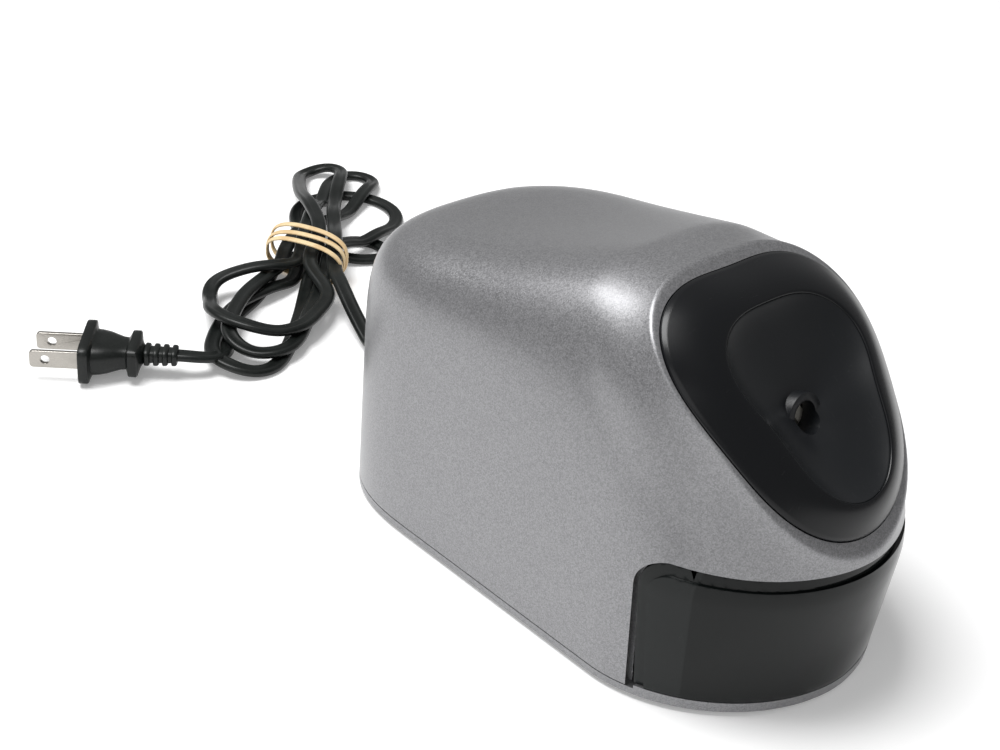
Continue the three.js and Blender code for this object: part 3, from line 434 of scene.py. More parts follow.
@dataclass(frozen=True)
class Layered:
    """Thin layers or turns side by side along one direction: steel sheets or wire."""

    name: str
    color: tuple[float, float, float]
    between: tuple[float, float, float]
    along: tuple[float, float, float]
    pitch: float
    metallic: float = 0.8

    def make(self) -> bpy.types.Material:
        """Builds the material, whose bands follow the sine of the distance along the direction.

        Returns:
            The finished material.
        """
        g = Graph(self.name)
        at = g.place()
        dot = {"operation": "DOT_PRODUCT"}
        reach = g.node("ShaderNodeVectorMath", dot, {0: at, 1: self.along}, "Value")
        ripple = g.math("SINE", reach * (2 * math.pi / self.pitch))
        grain = g.noise(at, 500.0, 4.0)
        tone = g.mix(ripple.above(-0.5, 0.9), self.between, self.color)
        tone = g.mix(grain * 0.3, tone, self.between)
        normal = g.bump(ripple + grain * 0.4, 0.00012, 0.8)
        return g.surface(Base_Color=tone, Metallic=self.metallic, Roughness=0.3 + grain * 0.25, Normal=normal)


@dataclass(frozen=True)
class BandRubber:
    """Old natural rubber of an elastic band, with pale and darker stretches."""

    name: str = "band_rubber"

    def make(self) -> bpy.types.Material:
        """Builds the material.

        Returns:
            The finished material.
        """
        g = Graph(self.name)
        at = g.place()
        stretch = g.noise(at, 140.0, 4.0)
        grain = g.noise(at, 1800.0, 3.0)
        tone = g.mix(stretch.above(0.35, 0.3), (0.66, 0.47, 0.25), (0.80, 0.63, 0.38))
        tone = g.mix(grain.above(0.55, 0.2) * 0.3, tone, (0.5, 0.33, 0.15))
        rough = 0.55 + grain * 0.2
        return g.surface(Base_Color=tone, Roughness=rough, Normal=g.bump(grain, 0.00008, 0.7))


@dataclass
class Palette:
    """Every finish of the object, by record slot."""

    made: dict[str, bpy.types.Material] = field(default_factory=dict)

    def build(self) -> None:
        """Makes one material for each record slot."""
        dark = (0.018, 0.018, 0.018)
        along = (0.0, math.cos(DIP), -math.sin(DIP))
        finishes = {
            "housing_silver": SilverPaint(),
            "bezel_black": GlossBlack(),
            "dish_black": DishBlack(),
            "smoke": SmokedClear(),
            "foot_rubber": Moulded("foot_rubber", dark, 0.75, 0.6),
            "cord_black": Moulded(
                "cord_black", (0.0035, 0.0048, 0.0042), 0.36, 0.5, 1400.0, 0.00003, 0.3
            ),
            "band_tan": BandRubber(),
            "frame_grey": Moulded("frame_grey", (0.13, 0.14, 0.15), 0.5, 0.3),
            "gear_white": Moulded("gear_white", (0.62, 0.60, 0.54), 0.4, 0.12, 1200.0, 0.00002),
            "switch_black": Moulded("switch_black", (0.018, 0.018, 0.02), 0.42, 0.5),
            "switch_red": Moulded("switch_red", (0.42, 0.03, 0.02), 0.35, 0.2),
            "steel": Metal("steel", (0.50, 0.51, 0.52), 0.32),
            "cutter_steel": Metal("cutter_steel", (0.30, 0.31, 0.33), 0.26, (12.0, 1.0, 1.0)),
            "laminations": Layered(
                "laminations", (0.20, 0.205, 0.21), (0.05, 0.05, 0.055), along, 0.0012
            ),
            "copper": Layered(
                "copper", (0.50, 0.17, 0.055), (0.12, 0.03, 0.01), (1.0, 0.0, 0.0), 0.0007, 0.9
            ),
            "bearing_bronze": Metal("bearing_bronze", (0.50, 0.35, 0.16), 0.38),
            "blade_nickel": Metal("blade_nickel", (0.40, 0.38, 0.35), 0.3, (2.0, 2.0, 10.0), 0.5),
        }
        for slot, finish in finishes.items():
            self.made[slot] = finish.make()

    def dress_frame(self, frame: dict) -> None:
        """Gives each CAD node the finish of its record slot.
        """
        for entry in frame["record"]["subparts"]:
            node = frame["nodes"][entry["node"]]
            material = self.made[entry["material_slot"]]
            node.data.materials.clear()
            node.data.materials.append(material)

    def finish(self, piece: bpy.types.Object, slot: str, body: Body, *nodes: str) -> None:
        """Puts a piece's finish on, hangs it on the body that it rides on and hides the CAD nodes that it
        replaces.

        Args:
            piece: the finished piece.
            slot: the record slot of its finish.
            body: the body that it rides on.
            nodes: the CAD nodes that it replaces.
        """
        piece.data.materials.clear()
        piece.data.materials.append(self.made[slot])
        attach(piece, body.value)
        if nodes:
            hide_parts(*nodes)
        log.info("%s: %d faces on %s", piece.name, len(piece.data.polygons), body.value)


# ------------------------------------------------------------------ meshes


def make_object(name: str, points: Points, faces: list | np.ndarray) -> bpy.types.Object:
    """Makes a mesh object.

    Args:
        name: the object's name.
        points: corners in millimetres, one row each.
        faces: lists of corner numbers.

    Returns:
        The object, at the origin, with its place in its mesh, in metres.
    """
    mesh = bpy.data.meshes.new(name)
    listed = faces.tolist() if isinstance(faces, np.ndarray) else faces
    mesh.from_pydata((np.asarray(points).reshape(-1, 3) * MM).tolist(), [], listed)
    mesh.update()
    made = bpy.data.objects.new(name, mesh)
    bpy.context.scene.collection.objects.link(made)
    return made


def grid_faces(rows: int, columns: int, wrap_rows: bool, wrap_columns: bool) -> np.ndarray:
    """Quads between neighbouring points of a grid, joined round where a direction wraps.

    Args:
        rows: points along the grid's first direction.
        columns: points along its second direction.
        wrap_rows: whether the last row joins the first.
        wrap_columns: whether the last column joins the first.

    Returns:
        Four point numbers in each row.
    """
    i = np.arange(rows if wrap_rows else rows - 1)
    j = np.arange(columns if wrap_columns else columns - 1)
    a, b = np.meshgrid(i, j, indexing="ij")
    a2, b2 = (a + 1) % rows, (b + 1) % columns
    quads = [a * columns + b, a * columns + b2, a2 * columns + b2, a2 * columns + b]
    return np.stack([q.ravel() for q in quads], axis=1)


def loft(name: str, rings: Points, closed: bool = False) -> bpy.types.Object:
    """A closed surface through rings of points, with flat ends or joined round.

    Args:
        name: the object's name.
        rings: an array of rings by points by 3.
        closed: whether the last ring joins the first.

    Returns:
        The object, its faces outwards.
    """
    rows, columns = rings.shape[:2]
    faces = grid_faces(rows, columns, closed, True).tolist()
    points = rings.reshape(-1, 3)
    if not closed:
        faces.append(list(range(columns))[::-1])
        faces.append(list(range((rows - 1) * columns, rows * columns)))
    made = make_object(name, points, faces)
    face_outwards(made)
    return made


def face_outwards(piece: bpy.types.Object) -> None:
    """Turns a closed mesh's faces outwards.

    The volume is a sixth of the sum of a . (b x c) over all triangles, and its sign tells which
    way the faces point.

    Args:
        piece: the closed piece.
    """
    mesh = piece.data
    mesh.calc_loop_triangles()
    corners = np.empty(len(mesh.vertices) * 3)
    mesh.vertices.foreach_get("co", corners)
    triangles = np.empty(len(mesh.loop_triangles) * 3, dtype=np.int64)
    mesh.loop_triangles.foreach_get("vertices", triangles)
    a, b, c = np.moveaxis(corners.reshape(-1, 3)[triangles.reshape(-1, 3)], 1, 0)
    if np.einsum("ij,ij->", a, np.cross(b, c)) < 0:
        mesh.flip_normals()


def smooth(piece: bpy.types.Object, angle: float = 32.0) -> None:
    """Shades a piece smooth, with its sharp edges kept.

    Args:
        piece: the piece.
        angle: edges sharper than this many degrees stay sharp.
    """
    mesh = piece.data
    mesh.polygons.foreach_set("use_smooth", np.ones(len(mesh.polygons), dtype=bool))
    mesh.set_sharp_from_angle(angle=math.radians(angle))
    mesh.update()


def settle(piece: bpy.types.Object) -> None:
    """Applies a piece's modifiers to its mesh.

    Args:
        piece: the piece.
    """
    view = bpy.context.evaluated_depsgraph_get()
    mesh = bpy.data.meshes.new_from_object(piece.evaluated_get(view))
    old = piece.data
    piece.modifiers.clear()
    piece.data = mesh
    mesh.name = piece.name
    bpy.data.meshes.remove(old)


def carve(piece: bpy.types.Object, tool: bpy.types.Object, operation: str = "DIFFERENCE") -> None:
    """Cuts a piece by another closed one, or joins or intersects them, and removes the tool.

    Args:
        piece: the piece that is kept.
        tool: the other piece.
        operation: DIFFERENCE, UNION or INTERSECT.
    """
    modifier = piece.modifiers.new("carve", "BOOLEAN")
    modifier.operation = operation
    modifier.solver = "EXACT"
    modifier.object = tool
    bpy.context.view_layer.update()
    settle(piece)
    mesh = tool.data
    bpy.data.objects.remove(tool)
    bpy.data.meshes.remove(mesh)


def soften(piece: bpy.types.Object, width: float, segments: int = 2, angle: float = 40.0) -> None:
    """Rounds a piece's sharp edges.

    Args:
        piece: the piece.
        width: the round's width in millimetres.
        segments: how many faces the round has across it.
        angle: edges sharper than this many degrees are rounded.
    """
    modifier = piece.modifiers.new("soften", "BEVEL")
    modifier.width = width * MM
    modifier.segments = segments
    modifier.limit_method = "ANGLE"
    modifier.angle_limit = math.radians(angle)
    modifier.harden_normals = False
    settle(piece)


def block(name: str, low: Sequence[float], high: Sequence[float]) -> bpy.types.Object:
    """A box between two corners.

    Args:
        name: the object's name.
        low: its lowest corner in millimetres.
        high: its highest corner.

    Returns:
        The object, its faces outwards.
    """
    xs, ys, zs = zip(low, high)
    corners = np.array([[x, y, z] for x in xs for y in ys for z in zs])
    faces = [[0, 1, 3, 2], [4, 6, 7, 5], [0, 4, 5, 1], [2, 3, 7, 6], [0, 2, 6, 4], [1, 5, 7, 3]]
    made = make_object(name, corners, faces)
    face_outwards(made)
    return made


def prism(name: str, low: Points, high: Points) -> bpy.types.Object:
    """A solid between two matching outlines of points."""
    return loft(name, np.stack([low, high]))


def rod(
    name: str, radius: float, x: float, y: float, low: float, high: float, sides: int = 48
) -> bpy.types.Object:
    """An upright cylinder, for cutting.

    Args:
        name: the object's name.
        radius: its radius.
        x: its axis's place along X.
        y: its axis's place along Y.
        low: height of its lower end.
        high: height of its upper end.
        sides: how many flat sides it has.

    Returns:
        The object.
    """
    turn = np.linspace(0, 2 * np.pi, sides, endpoint=False)
    ring = np.stack([x + radius * np.cos(turn), y + radius * np.sin(turn), np.zeros(sides)], axis=1)
    return prism(name, ring + [0, 0, low], ring + [0, 0, high])


# ------------------------------------------------------------------ the housing's skin


def smooth_max(a: Points, b: Points | float, blend: float) -> Points:
    """The larger of two fields, rounded over a blend width.

    With h = 0.5 + 0.5 (a - b) / blend, kept between 0 and 1, it is b (1 - h) + a h plus the round
    blend h (1 - h).

    Args:
        a: the first field.
        b: the second field.
        blend: the width over which they are rounded.

    Returns:
        The rounded field.
    """
    h = np.clip(0.5 + 0.5 * (a - b) / blend, 0, 1)
    return b * (1 - h) + a * h + blend * h * (1 - h)


def cosine_series(terms: Sequence[float], angle: Points) -> Points:
    """The sum of terms times the cosine of whole multiples of an angle."""
    return sum(term * np.cos(k * angle) for k, term in enumerate(terms))


@dataclass
class Skin:
    """The housing's outer form as a field that is negative inside.

    Plan and height are joined as a superellipse, the tilted face shaves it, and a lip stands
    round the bezel square to that face. Places along Y run from the nose at the front to the rear.
    """

    rear: float
    half_width: float = 50.0
    nose_depth: float = 46.8
    nose_flare: float = 0.113
    nose_tip: float = 49.59
    straight: float = 78.9
    bow_depth: float = 48.0
    face_back: float = 36.1
    face_height: float = 86.06
    tilt: float = math.radians(49.2)
    crown: float = 0.00212  # the face's fall for each square millimetre up or down it
    nose_curve: float = 1.9  # the plan's superellipse power in the front half
    rear_curve: float = 2.7
    rise_start: float = 12.3  # how far ahead of the rear the top begins to rise
    rise_length: float = 102.0
    rear_top: float = 86.6
    rise_gain: float = 26.4
    rise_power: float = 1.444
    most_rise: float = 1.3
    round_power: tuple[float, float] = (6.77, -4.25)  # the section's power at the rear, and its change
    side_height: tuple[float, float] = (30.0, 5.7)  # where the sides begin to round, and its change
    scale: float = 45.0  # turns the superellipse's measure into about a millimetre
    lip_slope: float = 0.8
    lip_flare: float = 0.15
    lip_depth: float = 16.0
    lip_blend: float = 10.0
    edge_blend: float = 0.7
    keel: float = 8.0  # how far the form goes on below the housing's edge
    hole_back: float = 27.6  # how far behind the nose the pencil's hole is
    rim_terms: tuple[float, ...] = (39.3, -4.04, 1.3, -3.56, -0.56)
    dish_terms: tuple[float, ...] = (26.2, -4.76, 2.15, -3.38, 0.47)
    dish_shift: float = -2.5
    shoulder_blend: float = 20.0
    shoulder_lift: float = 1.0

    def __post_init__(self) -> None:
        """Works out the places that follow from the sizes."""
        self.nose = -self.rear
        self.side_start = self.nose + self.nose_tip
        self.side_end = self.side_start + self.straight
        self.face_y = self.nose + self.face_back
        self.out = np.array([0.0, -math.cos(self.tilt), math.sin(self.tilt)])
        self.up = np.array([0.0, math.sin(self.tilt), math.cos(self.tilt)])
        self.heart = self.on_face(np.zeros(1), np.zeros(1), np.full(1, -60.0))[0]

    def on_face(self, across: Points, up: Points, out: Points) -> Points:
        """Points from places on the tilted face.

        Args:
            across: places across the face, along X.
            up: places up the face.
            out: places out of it.

        Returns:
            Points, with their places in the last axis.
        """
        y = self.face_y + up * self.up[1] + out * self.out[1]
        z = self.face_height + up * self.up[2] + out * self.out[2]
        return np.stack([across + 0 * y, y, z], axis=-1)

    def from_face(self, p: Points) -> tuple[Points, Points, Points]:
        """Places across, up and out of the tilted face, from points."""
        dy, dz = p[..., 1] - self.face_y, p[..., 2] - self.face_height
        return p[..., 0], dy * self.up[1] + dz * self.up[2], dy * self.out[1] + dz * self.out[2]

    def fall(self, across: Points, up: Points) -> Points:
        """How far the crowned face lies below its flat plane."""
        return -self.crown * (up**2 + 0.5 * across**2)

    def rim(self, angle: Points, inset: float = 0.0) -> tuple[Points, Points]:
        """The lip's outline on the face, as places across and up."""
        radius = cosine_series(self.rim_terms, angle) - inset
        return radius * np.sin(angle), radius * np.cos(angle)

    def dish(self, angle: Points, inset: float = 0.0) -> tuple[Points, Points]:
        """The dish's outline on the face, as places across and up."""
        radius = cosine_series(self.dish_terms, angle) - inset
        return radius * np.sin(angle), radius * np.cos(angle) + self.dish_shift

    def field(self, p: Points) -> Points:
        """How far points lie outside the whole form.

        The plan's measure is (across^c + along^c)^(1/c), and the section's is (plan^p + rise^p)^(1/p),
        less 1. Face and lip are joined to it by rounded maxima.

        Args:
            p: points, with their places in the last axis.

        Returns:
            About the distance in millimetres, negative inside.
        """
        x, y, z = np.abs(p[..., 0]), p[..., 1], p[..., 2]
        across = x / self.half_width
        nose = self.nose_depth + self.nose_flare * np.clip(z, 0, 60)
        ahead = np.maximum(0, self.side_start - y) / nose
        behind = np.maximum(0, y - self.side_end) / self.bow_depth
        curve = np.where(y < 0, self.nose_curve, self.rear_curve)
        plan = (across**curve + np.maximum(ahead, behind) ** curve) ** (1 / curve)
        reach = np.maximum((self.rear - self.rise_start - y) / self.rise_length, 0)
        top = self.rear_top + self.rise_gain * reach**self.rise_power
        share = np.minimum(reach, self.most_rise)
        power = self.round_power[0] + self.round_power[1] * share
        side = self.side_height[0] + self.side_height[1] * share
        rise = np.maximum(0, z - side) / (top - side)
        body = ((plan**power + rise**power) ** (1 / power) - 1) * self.scale
        u, v, n = self.from_face(p)
        face = smooth_max(body, n - self.shoulder_lift, self.shoulder_blend)
        radius = np.hypot(u, v)
        rim = cosine_series(self.rim_terms, np.arctan2(u, v))
        lip = self.lip_slope * (radius - rim - self.lip_flare * np.maximum(0, -n))
        lip = smooth_max(lip, -n - self.lip_depth, self.lip_blend)
        whole = -smooth_max(-face, -lip, self.lip_blend)
        whole = smooth_max(whole, n - self.fall(u, v), self.edge_blend)
        return np.maximum(whole, -z - self.keel)

    def surface(self, tilts: Points, around: int, shrink: float = 0.0, cap: float | None = None) -> Points:
        """The form's surface on a grid of directions from a point behind the face.

        Args:
            tilts: angles from the face's axis in degrees, one for each ring.
            around: points in each ring.
            shrink: how far inside the form the surface lies.
            cap: where given, the surface also stays this far below the crowned face.

        Returns:
            Rings by points by 3, found by halving the interval that holds the surface.
        """
        turns = np.linspace(0, 2 * np.pi, around, endpoint=False)
        tilt, turn = np.meshgrid(np.radians(tilts), turns, indexing="ij")
        sideways = np.sin(tilt)[..., None] * (
            np.cos(turn)[..., None] * np.array([1.0, 0, 0]) + np.sin(turn)[..., None] * self.up
        )
        way = np.cos(tilt)[..., None] * self.out + sideways
        near, far = np.full(tilt.shape, 5.0), np.full(tilt.shape, 190.0)
        for _ in range(34):
            middle = (near + far) / 2
            p = self.heart + way * middle[..., None]
            depth = self.field(p) + shrink
            if cap is not None:
                u, v, n = self.from_face(p)
                depth = np.maximum(depth, n - self.fall(u, v) + cap)
            outside = depth > 0
            far = np.where(outside, middle, far)
            near = np.where(outside, near, middle)
        return self.heart + way * near[..., None]

    def solid(self, name: str, around: int = 220, rings: int = 150, shrink: float = 0.0) -> bpy.types.Object:
        """The whole form, or one inside it, as a closed piece, finest at the lip.

        Args:
            name: the object's name.
            around: points in each ring.
            rings: how many rings lie evenly from one pole to the other.
            shrink: how far inside the form the piece's surface lies.

        Returns:
            The object, its faces outwards.
        """
        share = np.linspace(0, 1, rings)
        even = 1.2 + share * 177.6
        lip = 27 + 23 * share[::2]
        tilts = np.unique(np.round(np.concatenate([even, lip]), 3))
        return loft(name, raise_feet(self.surface(tilts, around, shrink)))

    def room(
        self, name: str, wall: float, rings: int, around: int, cap: float | None = None
    ) -> bpy.types.Object:
        """The form's inside as a closed cutter, whose underside goes a millimetre below the form's.

        Args:
            name: the object's name.
            wall: how far inside the form it lies.
            rings: how many rings it has.
            around: points in each ring.
            cap: where given, how far below the crowned face it stays.

        Returns:
            The object, its faces outwards.
        """
        points = self.surface(np.linspace(*INNER_TILTS, rings), around, wall, cap)
        points[..., 2] -= 1.0 * (points[..., 2] < -self.keel / 2)
        return loft(name, raise_feet(points))


def raise_feet(points: Points) -> Points:
    """Points measured from the housing's edge, in the object's own frame on its feet."""
    return points + np.array([0.0, 0.0, FOOT])


def side_outline(edge: float, lean: float, low: float, top: float, corner: float, ahead: float) -> Points:
    """The drawer's outline seen from the side: a leaning edge with a round upper corner.

    Args:
        edge: the leaning edge's place along Y near its top.
        lean: how much further forwards its lower end is.
        low: height of the outline's underside.
        top: height of its top.
        corner: the upper corner's radius.
        ahead: the place along Y where the outline ends in front.

    Returns:
        Places along Y and Z in order round the outline.
    """
    turn = np.linspace(0, np.pi / 2, 16)
    centre = np.array([edge - 0.6 - corner, top - corner])
    arc = centre + corner * np.stack([np.cos(turn), np.sin(turn)], axis=1)
    start = np.array([[ahead, low], [edge - lean, low]])
    return np.concatenate([start, arc, [[ahead, top]]])


def side_prism(name: str, outline: Points, low: float, high: float) -> bpy.types.Object:
    """A solid whose outline is seen along X.

    Args:
        name: the object's name.
        outline: places along Y and Z, from the housing's edge.
        low: its left end along X.
        high: its right end.

    Returns:
        The object.
    """
    count = len(outline)
    flat = np.column_stack([np.zeros(count), outline[:, 0], outline[:, 1] + FOOT])
    return prism(name, flat + [low, 0, 0], flat + [high, 0, 0])


# ------------------------------------------------------------------ sub-assemblies


@dataclass
class Housing:
    """The silver shell and the base plate under it."""

    skin: Skin
    palette: Palette
    drawer: Drawer
    wall: float = 2.4
    base_top: float = 2.0
    lip_top: float = 3.1
    seat: float = 2.0
    way_in: float = 3.0  # how far inside the dish's outline the opening behind it is
    foot_across: float = 34.0
    foot_radius: float = 6.0
    foot_seat: float = 0.9
    feet_in: tuple[float, float] = (33.0, 35.0)  # from the nose, and from the rear
    base_screws: tuple[tuple[float, float], ...] = ((38.0, 79.0), (34.0, 18.0))  # across, from the rear
    frame_screw: tuple[float, float] = (26.0, 62.5)  # across, and behind the pencil's hole
    shank_way: float = 1.9
    head_way: float = 3.7
    vents_back: float = 91.0  # how far behind the pencil's hole the middle vent is
    vent_pitch: float = 5.0
    vent_half: float = 16.0
    vent_width: float = 2.0

    def build(self) -> None:
        """Makes both pieces and dresses them."""
        self._shell()
        self._base()

    def _shell(self) -> None:
        """The shell: the whole form less its inside, the bezel's seat and the drawer's opening."""
        skin, drawer = self.skin, self.drawer
        shell = skin.solid("shell")
        carve(shell, skin.room("inside", self.wall, 60, 90, self.seat + self.wall))
        below = self.base_top + GAP + FOOT
        carve(shell, block("below", (-WIDE, -LONG, -40), (WIDE, LONG, below)))
        angle = np.linspace(0, 2 * np.pi, 240, endpoint=False)[::-1]
        carve(shell, self._face_tool("seat", skin.rim(angle), -self.seat, True))
        carve(shell, self._face_tool("way_in", skin.dish(angle, self.way_in), -25, False))
        edge = skin.nose + drawer.side_edge + GAP
        ahead = skin.nose - 30
        outline = side_outline(edge, drawer.lean, -20, drawer.top + GAP, drawer.corner + GAP, ahead)
        carve(shell, side_prism("drawer_way", outline, -WIDE, WIDE))
        x, y, z = EXIT[0], skin.rear, EXIT[2]
        way = NECK + GAP
        carve(shell, block("cord_way", (x - way, y - 10, z - way), (x + way, y + 5, z + way)))
        smooth(shell)
        self.palette.finish(shell, "housing_silver", Body.HOUSING, "housing_shell")

    def _face_tool(
        self, name: str, outline: tuple[Points, Points], low: float, crowned: bool
    ) -> bpy.types.Object:
        """A cutter square to the face, from a height over it to well outside.

        Args:
            name: the object's name.
            outline: its outline, as places across and up the face.
            low: height of its underside over the face.
            crowned: whether the underside follows the face's crown.

        Returns:
            The object.
        """
        u, v = outline
        shares = np.linspace(0.08, 1, 14)[:, None]
        floor = self.skin.fall(u * shares, v * shares) if crowned else np.zeros((len(shares), len(u)))
        under = self.skin.on_face(u * shares, v * shares, floor + low)
        top = self.skin.on_face(u * shares, v * shares, np.full(floor.shape, 25))
        return loft(name, raise_feet(np.concatenate([under, top[::-1]])))

    def _base(self) -> None:
        """The base plate: a slice of the form with a raised front lip, recesses and vents."""
        skin, drawer = self.skin, self.drawer
        plate = skin.solid("base", rings=120)
        edge = skin.nose + drawer.side_edge - drawer.lean - 1
        top = self.base_top + FOOT
        keep = block("slab", (-WIDE, -LONG, FOOT), (WIDE, LONG, top))
        carve(keep, block("lip", (-WIDE, -LONG, FOOT), (WIDE, edge, self.lip_top + FOOT)), "UNION")
        carve(plate, keep, "INTERSECT")
        half = drawer.tray_half
        tray_way = block("tray_way", (-half, skin.nose, top), (half, edge + 1, 20))
        carve(tray_way, skin.room("inner", self.wall, 60, 90), "INTERSECT")
        carve(plate, tray_way)
        for side in (-1, 1):
            for y in (skin.nose + self.feet_in[0], skin.rear - self.feet_in[1]):
                seat = self.foot_seat + GAP + FOOT
                carve(plate, rod("foot_way", self.foot_radius + GAP, side * self.foot_across, y, -5, seat))
        mouth = skin.nose + skin.hole_back
        screws = [(x, skin.rear - ahead) for x, ahead in self.base_screws]
        screws.append((self.frame_screw[0], mouth + self.frame_screw[1]))
        for x, y in screws + [(-x, y) for x, y in screws]:
            carve(plate, rod("screw_way", self.shank_way, x, y, -5, 9))
            carve(plate, rod("head_way", self.head_way, x, y, -5, 1 + FOOT))
        for i in range(-3, 4):
            y = mouth + self.vents_back + i * self.vent_pitch
            carve(plate, block("vent", (-self.vent_half, y, -5), (self.vent_half, y + self.vent_width, 9)))
        smooth(plate)
        self.palette.finish(plate, "housing_silver", Body.HOUSING, "base_plate")


@dataclass
class Bezel:
    """The glossy ring round the pencil dish, and the dish with its hole."""

    skin: Skin
    palette: Palette
    proud: float = 5.9
    seat: float = 2.0
    edge_height: float = 0.75  # the ring's height over the face just inside its outer round
    bore: float = 4.4
    neck_wall: float = 2.2
    hole_height: float = 75.3
    dish_wall: float = 2.2
    around: int = 320
    dimple: float = 2.2  # how much deeper the dish is close to the hole
    cone_share: float = 0.6  # the part of the dish's depth that is a plain funnel

    def build(self) -> None:
        """Makes both pieces and dresses them."""
        self._ring()
        self._dish()

    def _ring(self) -> None:
        """The ring: a rounded profile carried round between the rim's and the dish's outlines.

        Height over the face rises as the sine of the way in, with small rounds at both edges.
        """
        angle = np.linspace(0, 2 * np.pi, self.around, endpoint=False)
        outer, inner = self.skin.rim(angle, GAP), self.skin.dish(angle)
        first, last = [0, 0, 0.004, 0.012, 0.026], [0.955, 0.975, 0.99, 1, 1]
        share = np.concatenate([first, np.linspace(0.05, 0.93, 26), last])
        low = self.edge_height
        climb = low + (self.proud - low) * np.sin(np.clip(share, 0, 1) * np.pi / 2) ** 1.02
        climb = np.where(share < 0.03, low - 0.45 * (1 - share / 0.03) ** 2, climb)
        climb = np.where(share > 0.95, climb - 0.5 * ((share - 0.95) / 0.05) ** 2, climb)
        climb[0], climb[-1] = -self.seat + GAP, -self.seat + GAP
        s = share[:, None]
        u = outer[0] * (1 - s) + inner[0] * s
        v = outer[1] * (1 - s) + inner[1] * s
        rings = self.skin.on_face(u, v, climb[:, None] + self.skin.fall(u, v))
        ring = loft("bezel", raise_feet(np.swapaxes(rings, 0, 1)), closed=True)
        smooth(ring, 50)
        self.palette.finish(ring, "bezel_black", Body.HOUSING, "bezel_ring")

    def _dish(self) -> None:
        """The dish: a funnel round the hole that steepens towards its edge.

        With s as the share of the way out, it climbs as a mix of s^1.25 and s^5, less a bell
        exp(-(s / 0.34)^2) that makes the dimple.
        """
        skin = self.skin
        hole = np.array([0.0, skin.nose + skin.hole_back, self.hole_height])
        _, v0, n0 = skin.from_face(hole)
        angle = np.linspace(0, 2 * np.pi, self.around, endpoint=False)
        u1, v1 = skin.dish(angle, 0.12)
        edge = self.proud - 0.6 + skin.fall(u1, v1)
        share = np.concatenate([np.linspace(0.1, 0.94, 60), [0.965, 0.985, 1.0]])[:, None]
        climb = self.cone_share * share**1.25 + (1 - self.cone_share) * share**5
        height = n0 + (edge - n0) * climb - self.dimple * np.exp(-((share / 0.34) ** 2))
        top = skin.on_face(u1 * share, v0 + (v1 - v0) * share, height)
        under = skin.on_face(u1 * share, v0 + (v1 - v0) * share, height - self.dish_wall)
        bowl = loft("dish", raise_feet(np.concatenate([top, under[::-1]])))
        carve(bowl, self._tube("neck", hole, self.bore + self.neck_wall, 1.5, 6), "UNION")
        carve(bowl, self._tube("bore", hole, self.bore, -20, 12))
        soften(bowl, 0.2, 2, 45)
        smooth(bowl, 40)
        self.palette.finish(bowl, "dish_black", Body.HOUSING, "pencil_dish")

    def _tube(self, name: str, hole: Points, radius: float, low: float, high: float) -> bpy.types.Object:
        """A cylinder along the pencil's way in.

        Args:
            name: the object's name.
            hole: the middle of the hole.
            radius: its radius.
            low: how far behind the hole it begins.
            high: how far behind the hole it ends.

        Returns:
            The object.
        """
        way = np.array([0.0, math.cos(DIP), -math.sin(DIP)])
        side = np.array([1.0, 0, 0])
        down = np.cross(way, side)
        turn = np.linspace(0, 2 * np.pi, 96, endpoint=False)[:, None]
        ring = radius * (np.cos(turn) * side + np.sin(turn) * down) + hole
        return prism(name, raise_feet(ring + low * way), raise_feet(ring + high * way))


@dataclass
class Drawer:
    """The smoked shavings drawer: a curved front with a thick pull rim, and a tray behind it."""

    skin: Skin
    palette: Palette
    side_edge: float = 39.4
    lean: float = 3.2
    top: float = 44.6
    corner: float = 8.0
    wall: float = 2.2
    rim: float = 4.4
    rim_depth: float = 3.0
    bottom: float = 3.4
    tray_half: float = 43.4
    tray_depth: float = 71.7
    tray_height: float = 36.0
    step: float = 0.9  # how far the pull rim lies behind the front's panel
    panel_in: float = 3.6  # how far the panel's side edge lies ahead of the opening's
    panel_drop: float = 3.3
    panel_corner: float = 5.5

    def build(self) -> None:
        """Makes the drawer from the form's front and a tray, and hollows both."""
        skin, nose = self.skin, self.skin.nose
        edge = nose + self.side_edge
        outline = side_outline(edge - GAP, self.lean, self.bottom, self.top, self.corner, nose - 30)
        panel_edge, panel_top = edge - self.panel_in, self.top - self.panel_drop
        panel = side_outline(panel_edge, self.lean, self.bottom, panel_top, self.panel_corner, nose - 30)
        front = skin.solid("drawer", around=240, rings=130, shrink=self.step)
        carve(front, side_prism("front_outline", outline, -WIDE, WIDE), "INTERSECT")
        raised = skin.solid("panel", around=240, rings=130, shrink=0.05)
        carve(raised, side_prism("panel_outline", panel, -WIDE, WIDE), "INTERSECT")
        carve(front, raised, "UNION")
        soften(front, 0.3, 3, 38)
        floor = self.bottom + self.wall
        back = nose + self.tray_depth
        half = self.tray_half
        low, high = (-half, edge - 6, self.bottom + FOOT), (half, back, self.tray_height + FOOT)
        carve(front, block("tray", low, high), "UNION")
        for inset, top in ((self.wall, self.top - self.rim_depth), (self.rim, 90.0)):
            room = skin.room("room", inset + 0.1, 70, 120)
            limits = block("room_limits", (-WIDE, nose - 20, floor + FOOT), (WIDE, edge - 9, top + FOOT))
            carve(room, limits, "INTERSECT")
            carve(front, room)
        narrow = self.tray_half - self.wall
        room = block("tray_room", (-narrow, edge - 14, floor + FOOT), (narrow, back - self.wall, 90))
        carve(front, room)
        smooth(front, 40)
        self.palette.finish(front, "smoke", Body.DRAWER, "shavings_drawer")


